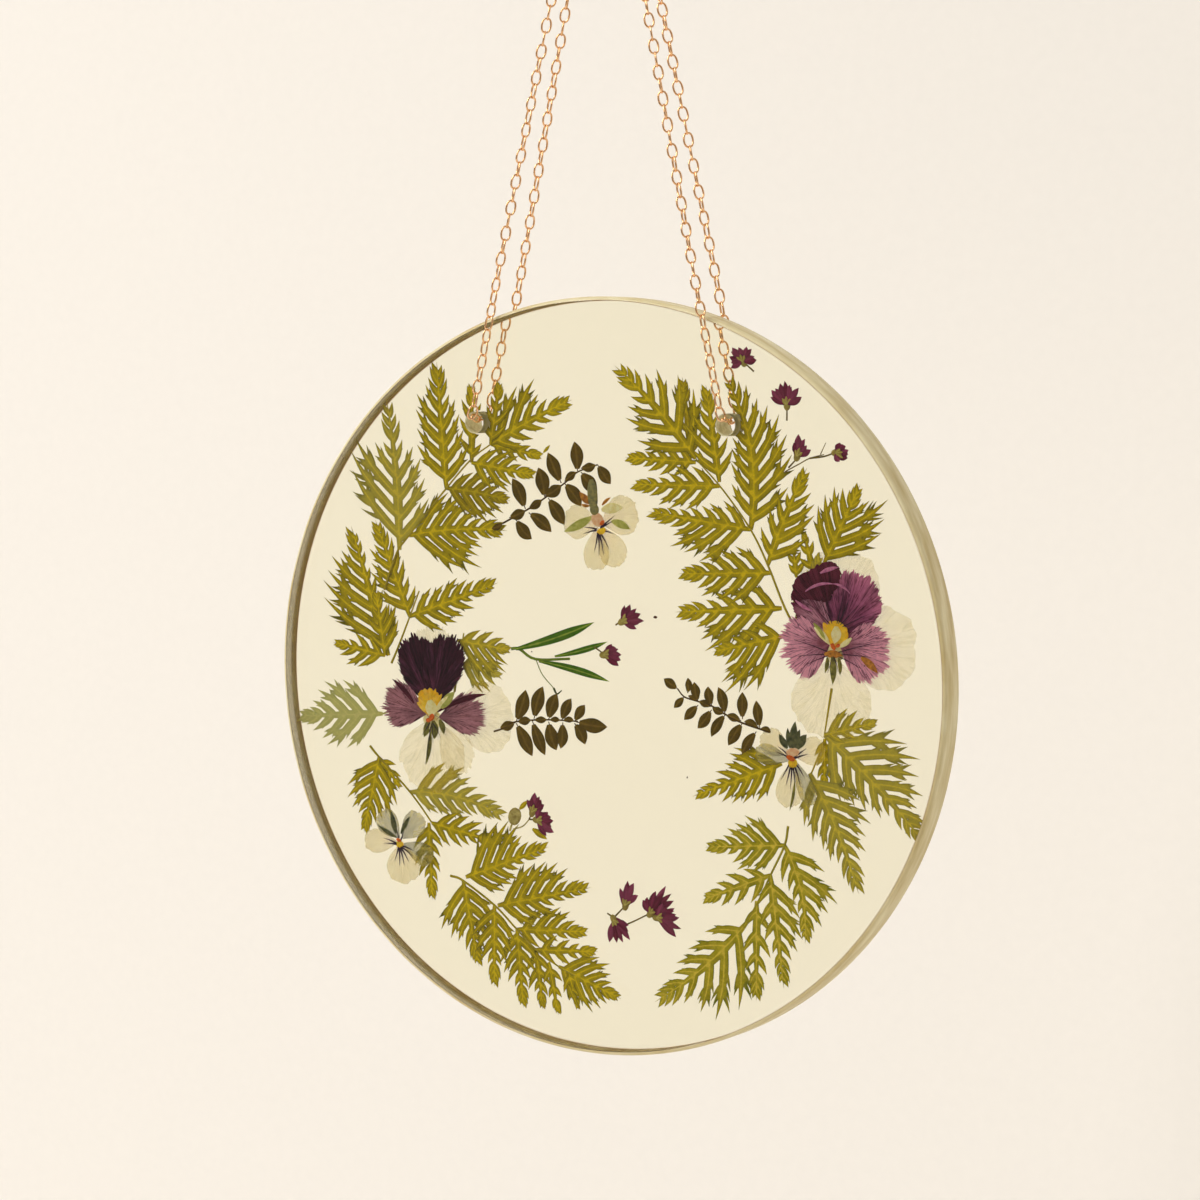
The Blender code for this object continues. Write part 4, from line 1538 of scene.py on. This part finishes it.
class FLOWERDISC_OT_disc(bpy.types.Operator):
    """The clear cast disc with its polished rim and drilled holes"""

    bl_idname = "flower_disc.disc"
    bl_label = "Resin disc"

    def execute(self, context):
        resin = settings_of(context).resin
        make_disc(resin, make_material("cast_resin", resin_material, resin))
        make_bore_frost(make_material("drilled_resin", frost_material))
        satin = make_material("satin_rim", rim_material, 0.5, 0.66)
        faint = make_material("satin_rim_faint", rim_material, 0.2, 0.34)
        make_rim_skin(resin, satin, "satin_rim_skin", 0.02 * MM, 0.06 * MM)
        make_rim_skin(resin, faint, "satin_rim_depth", -0.24 * MM, -0.2 * MM)
        return {"FINISHED"}


class FLOWERDISC_OT_fronds(bpy.types.Operator):
    """The pressed fern fronds round both sides"""

    bl_idname = "flower_disc.fronds"
    bl_label = "Fern fronds"

    def execute(self, context):
        materials = plant_materials(settings_of(context))
        for frond in FRONDS:
            make_frond(frond, materials)
        return {"FINISHED"}


class FLOWERDISC_OT_sprigs(bpy.types.Operator):
    """The dark sprigs of oval leaflets and the bright green blades"""

    bl_idname = "flower_disc.sprigs"
    bl_label = "Sprigs"

    def execute(self, context):
        materials = plant_materials(settings_of(context))
        for sprig in SPRIGS:
            make_sprig(sprig, materials["leaflet"])
        make_blades(materials["grass"])
        return {"FINISHED"}


class FLOWERDISC_OT_violas(bpy.types.Operator):
    """The five violas, petal by petal, with their eyes, lines and sepals"""

    bl_idname = "flower_disc.violas"
    bl_label = "Violas"

    def execute(self, context):
        materials = plant_materials(settings_of(context))
        make_violas(materials)
        make_lines(materials)
        make_sepals(materials)
        return {"FINISHED"}


class FLOWERDISC_OT_florets(bpy.types.Operator):
    """The small purple florets, the buds and the loose bits"""

    bl_idname = "flower_disc.florets"
    bl_label = "Florets and buds"

    def execute(self, context):
        materials = plant_materials(settings_of(context))
        make_florets(materials)
        make_small_bits(materials)
        return {"FINISHED"}


# The wall and floor, in metres; the floor lies below the disc's middle.
WALL_SIDE = 1.6
WALL_TOP = 1.2
FLOOR_REACH = 2.5
FLOOR_DROP = 0.9

# The light: the room's glow is weakest straight ahead and behind, and one big lamp is the key.
ROOM_COLOUR = (1.0, 1.0, 0.99, 1.0)
ROOM_LEAST = 0.16
ROOM_RISE = 0.62
KEY_PLACE = (-2.5, -3.4, 2.4)
KEY_SIZE = 3.0
KEY_POWER = 198.0
KEY_COLOUR = (1.0, 0.99, 0.985)

# The camera stands to the right and slightly above, and aims a little above the disc's middle.
VIEW_AZIMUTH = radians(29.5)
VIEW_ELEVATION = radians(5.0)
AIM_ABOVE = 0.0203
AIM_LEFT = 0.0014
SENSOR_WIDTH = 36.0
LENS = 107.9
NEAREST = 0.01


def add_stage_sheet(name, corners, material):
    mesh = bpy.data.meshes.new(name)
    mesh.from_pydata(corners, [], [tuple(range(len(corners)))])
    mesh.materials.append(material)
    made = bpy.data.objects.new(name, mesh)
    bpy.context.scene.collection.objects.link(made)


def place_looking(name, data, place, aim):
    """A camera or a lamp at a place, turned to an aim."""
    made = bpy.data.objects.new(name, data)
    made.location = place
    made.rotation_euler = (aim - Vector(place)).to_track_quat("-Z", "Y").to_euler()
    bpy.context.scene.collection.objects.link(made)
    return made


def soft_room():
    """A world that glows from the sides more than from the front and the back."""
    world = bpy.data.worlds.new("soft_room")
    world.use_nodes = True
    tree = world.node_tree
    background = tree.nodes["Background"]
    background.inputs["Color"].default_value = ROOM_COLOUR
    way = add(tree, "SeparateXYZ", {"Vector": add(tree, "TexCoord").outputs["Generated"]})
    aside = math(tree, "SUBTRACT", 1.0, math(tree, "ABSOLUTE", way.outputs["Y"]))
    feed(background, {"Strength": math(tree, "MULTIPLY_ADD", aside, ROOM_RISE, ROOM_LEAST)})
    return world


class FLOWERDISC_OT_stage(bpy.types.Operator):
    """A plain pale wall and floor, soft light and the camera"""

    bl_idname = "flower_disc.stage"
    bl_label = "Stage"

    def execute(self, context):
        stage = settings_of(context).stage
        shade = Vector(stage.wall)
        wall_y = DISC_CENTRE.y + stage.wall_gap
        floor_z = DISC_CENTRE.z - FLOOR_DROP
        wall = [(x, wall_y, z) for x, z in (
            (-WALL_SIDE, floor_z), (WALL_SIDE, floor_z), (WALL_SIDE, WALL_TOP), (-WALL_SIDE, WALL_TOP))]
        add_stage_sheet("back_wall", wall, one_sided(wall_material("pale_wall", shade)))
        floor = [(x * FLOOR_REACH, y * FLOOR_REACH, floor_z) for x, y in ((-1, -1), (1, -1), (1, 1), (-1, 1))]
        add_stage_sheet("floor", floor, wall_material("pale_floor", shade))
        context.scene.world = soft_room()
        lamp = bpy.data.lights.new("key", "AREA")
        lamp.size = KEY_SIZE
        lamp.energy = KEY_POWER
        lamp.color = KEY_COLOUR
        place_looking("key", lamp, KEY_PLACE, DISC_CENTRE)
        context.scene.view_settings.view_transform = "Standard"
        self.add_camera(context.scene, stage)
        return {"FINISHED"}

    def add_camera(self, scene, stage):
        """The view from the front and a little to the right, slightly from above."""
        level = cos(VIEW_ELEVATION)
        back = Vector((sin(VIEW_AZIMUTH) * level, -cos(VIEW_AZIMUTH) * level, sin(VIEW_ELEVATION)))
        right = Vector((cos(VIEW_AZIMUTH), sin(VIEW_AZIMUTH), 0))
        data = bpy.data.cameras.new("camera")
        data.sensor_width = SENSOR_WIDTH
        data.lens = LENS
        data.clip_start = NEAREST
        aim = DISC_CENTRE + Vector((0, 0, AIM_ABOVE)) - right * AIM_LEFT
        scene.camera = place_looking("camera", data, DISC_CENTRE + back * stage.view_distance, aim)


class FLOWERDISC_PT_panel(bpy.types.Panel):
    """The disc's settings and its pieces, in the order they are made"""

    bl_idname = "FLOWERDISC_PT_panel"
    bl_label = "Flower Disc"
    bl_space_type = "VIEW_3D"
    bl_region_type = "UI"
    bl_category = "Flower Disc"

    def draw(self, context):
        layout = self.layout
        settings = settings_of(context)
        for group in (settings.resin, settings.metal, settings.leaves, settings.flowers, settings.stage):
            box = layout.box()
            for name in group.bl_rna.properties.keys():
                if name not in {"rna_type", "name"}:
                    box.prop(group, name)
        for operator in OPERATORS:
            layout.operator(operator.bl_idname)


GROUPS = (
    FLOWERDISC_PG_resin, FLOWERDISC_PG_metal, FLOWERDISC_PG_leaves, FLOWERDISC_PG_flowers,
    FLOWERDISC_PG_stage, FLOWERDISC_PG_settings,
)
OPERATORS = (
    FLOWERDISC_OT_stage, FLOWERDISC_OT_chains, FLOWERDISC_OT_ring, FLOWERDISC_OT_disc, FLOWERDISC_OT_fronds,
    FLOWERDISC_OT_sprigs, FLOWERDISC_OT_violas, FLOWERDISC_OT_florets,
)


def register():
    for item in (*GROUPS, *OPERATORS, FLOWERDISC_PT_panel):
        bpy.utils.register_class(item)
    bpy.types.Scene.flower_disc = PointerProperty(type=FLOWERDISC_PG_settings)


def unregister():
    del bpy.types.Scene.flower_disc
    for item in (FLOWERDISC_PT_panel, *reversed(OPERATORS), *reversed(GROUPS)):
        bpy.utils.unregister_class(item)


def main():
    register()
    bpy.ops.flower_disc.stage()
    bpy.ops.flower_disc.chains()
    bpy.ops.flower_disc.ring()
    bpy.ops.flower_disc.disc()
    bpy.ops.flower_disc.fronds()
    bpy.ops.flower_disc.sprigs()
    bpy.ops.flower_disc.violas()
    bpy.ops.flower_disc.florets()


if __name__ == "__main__":
    main()
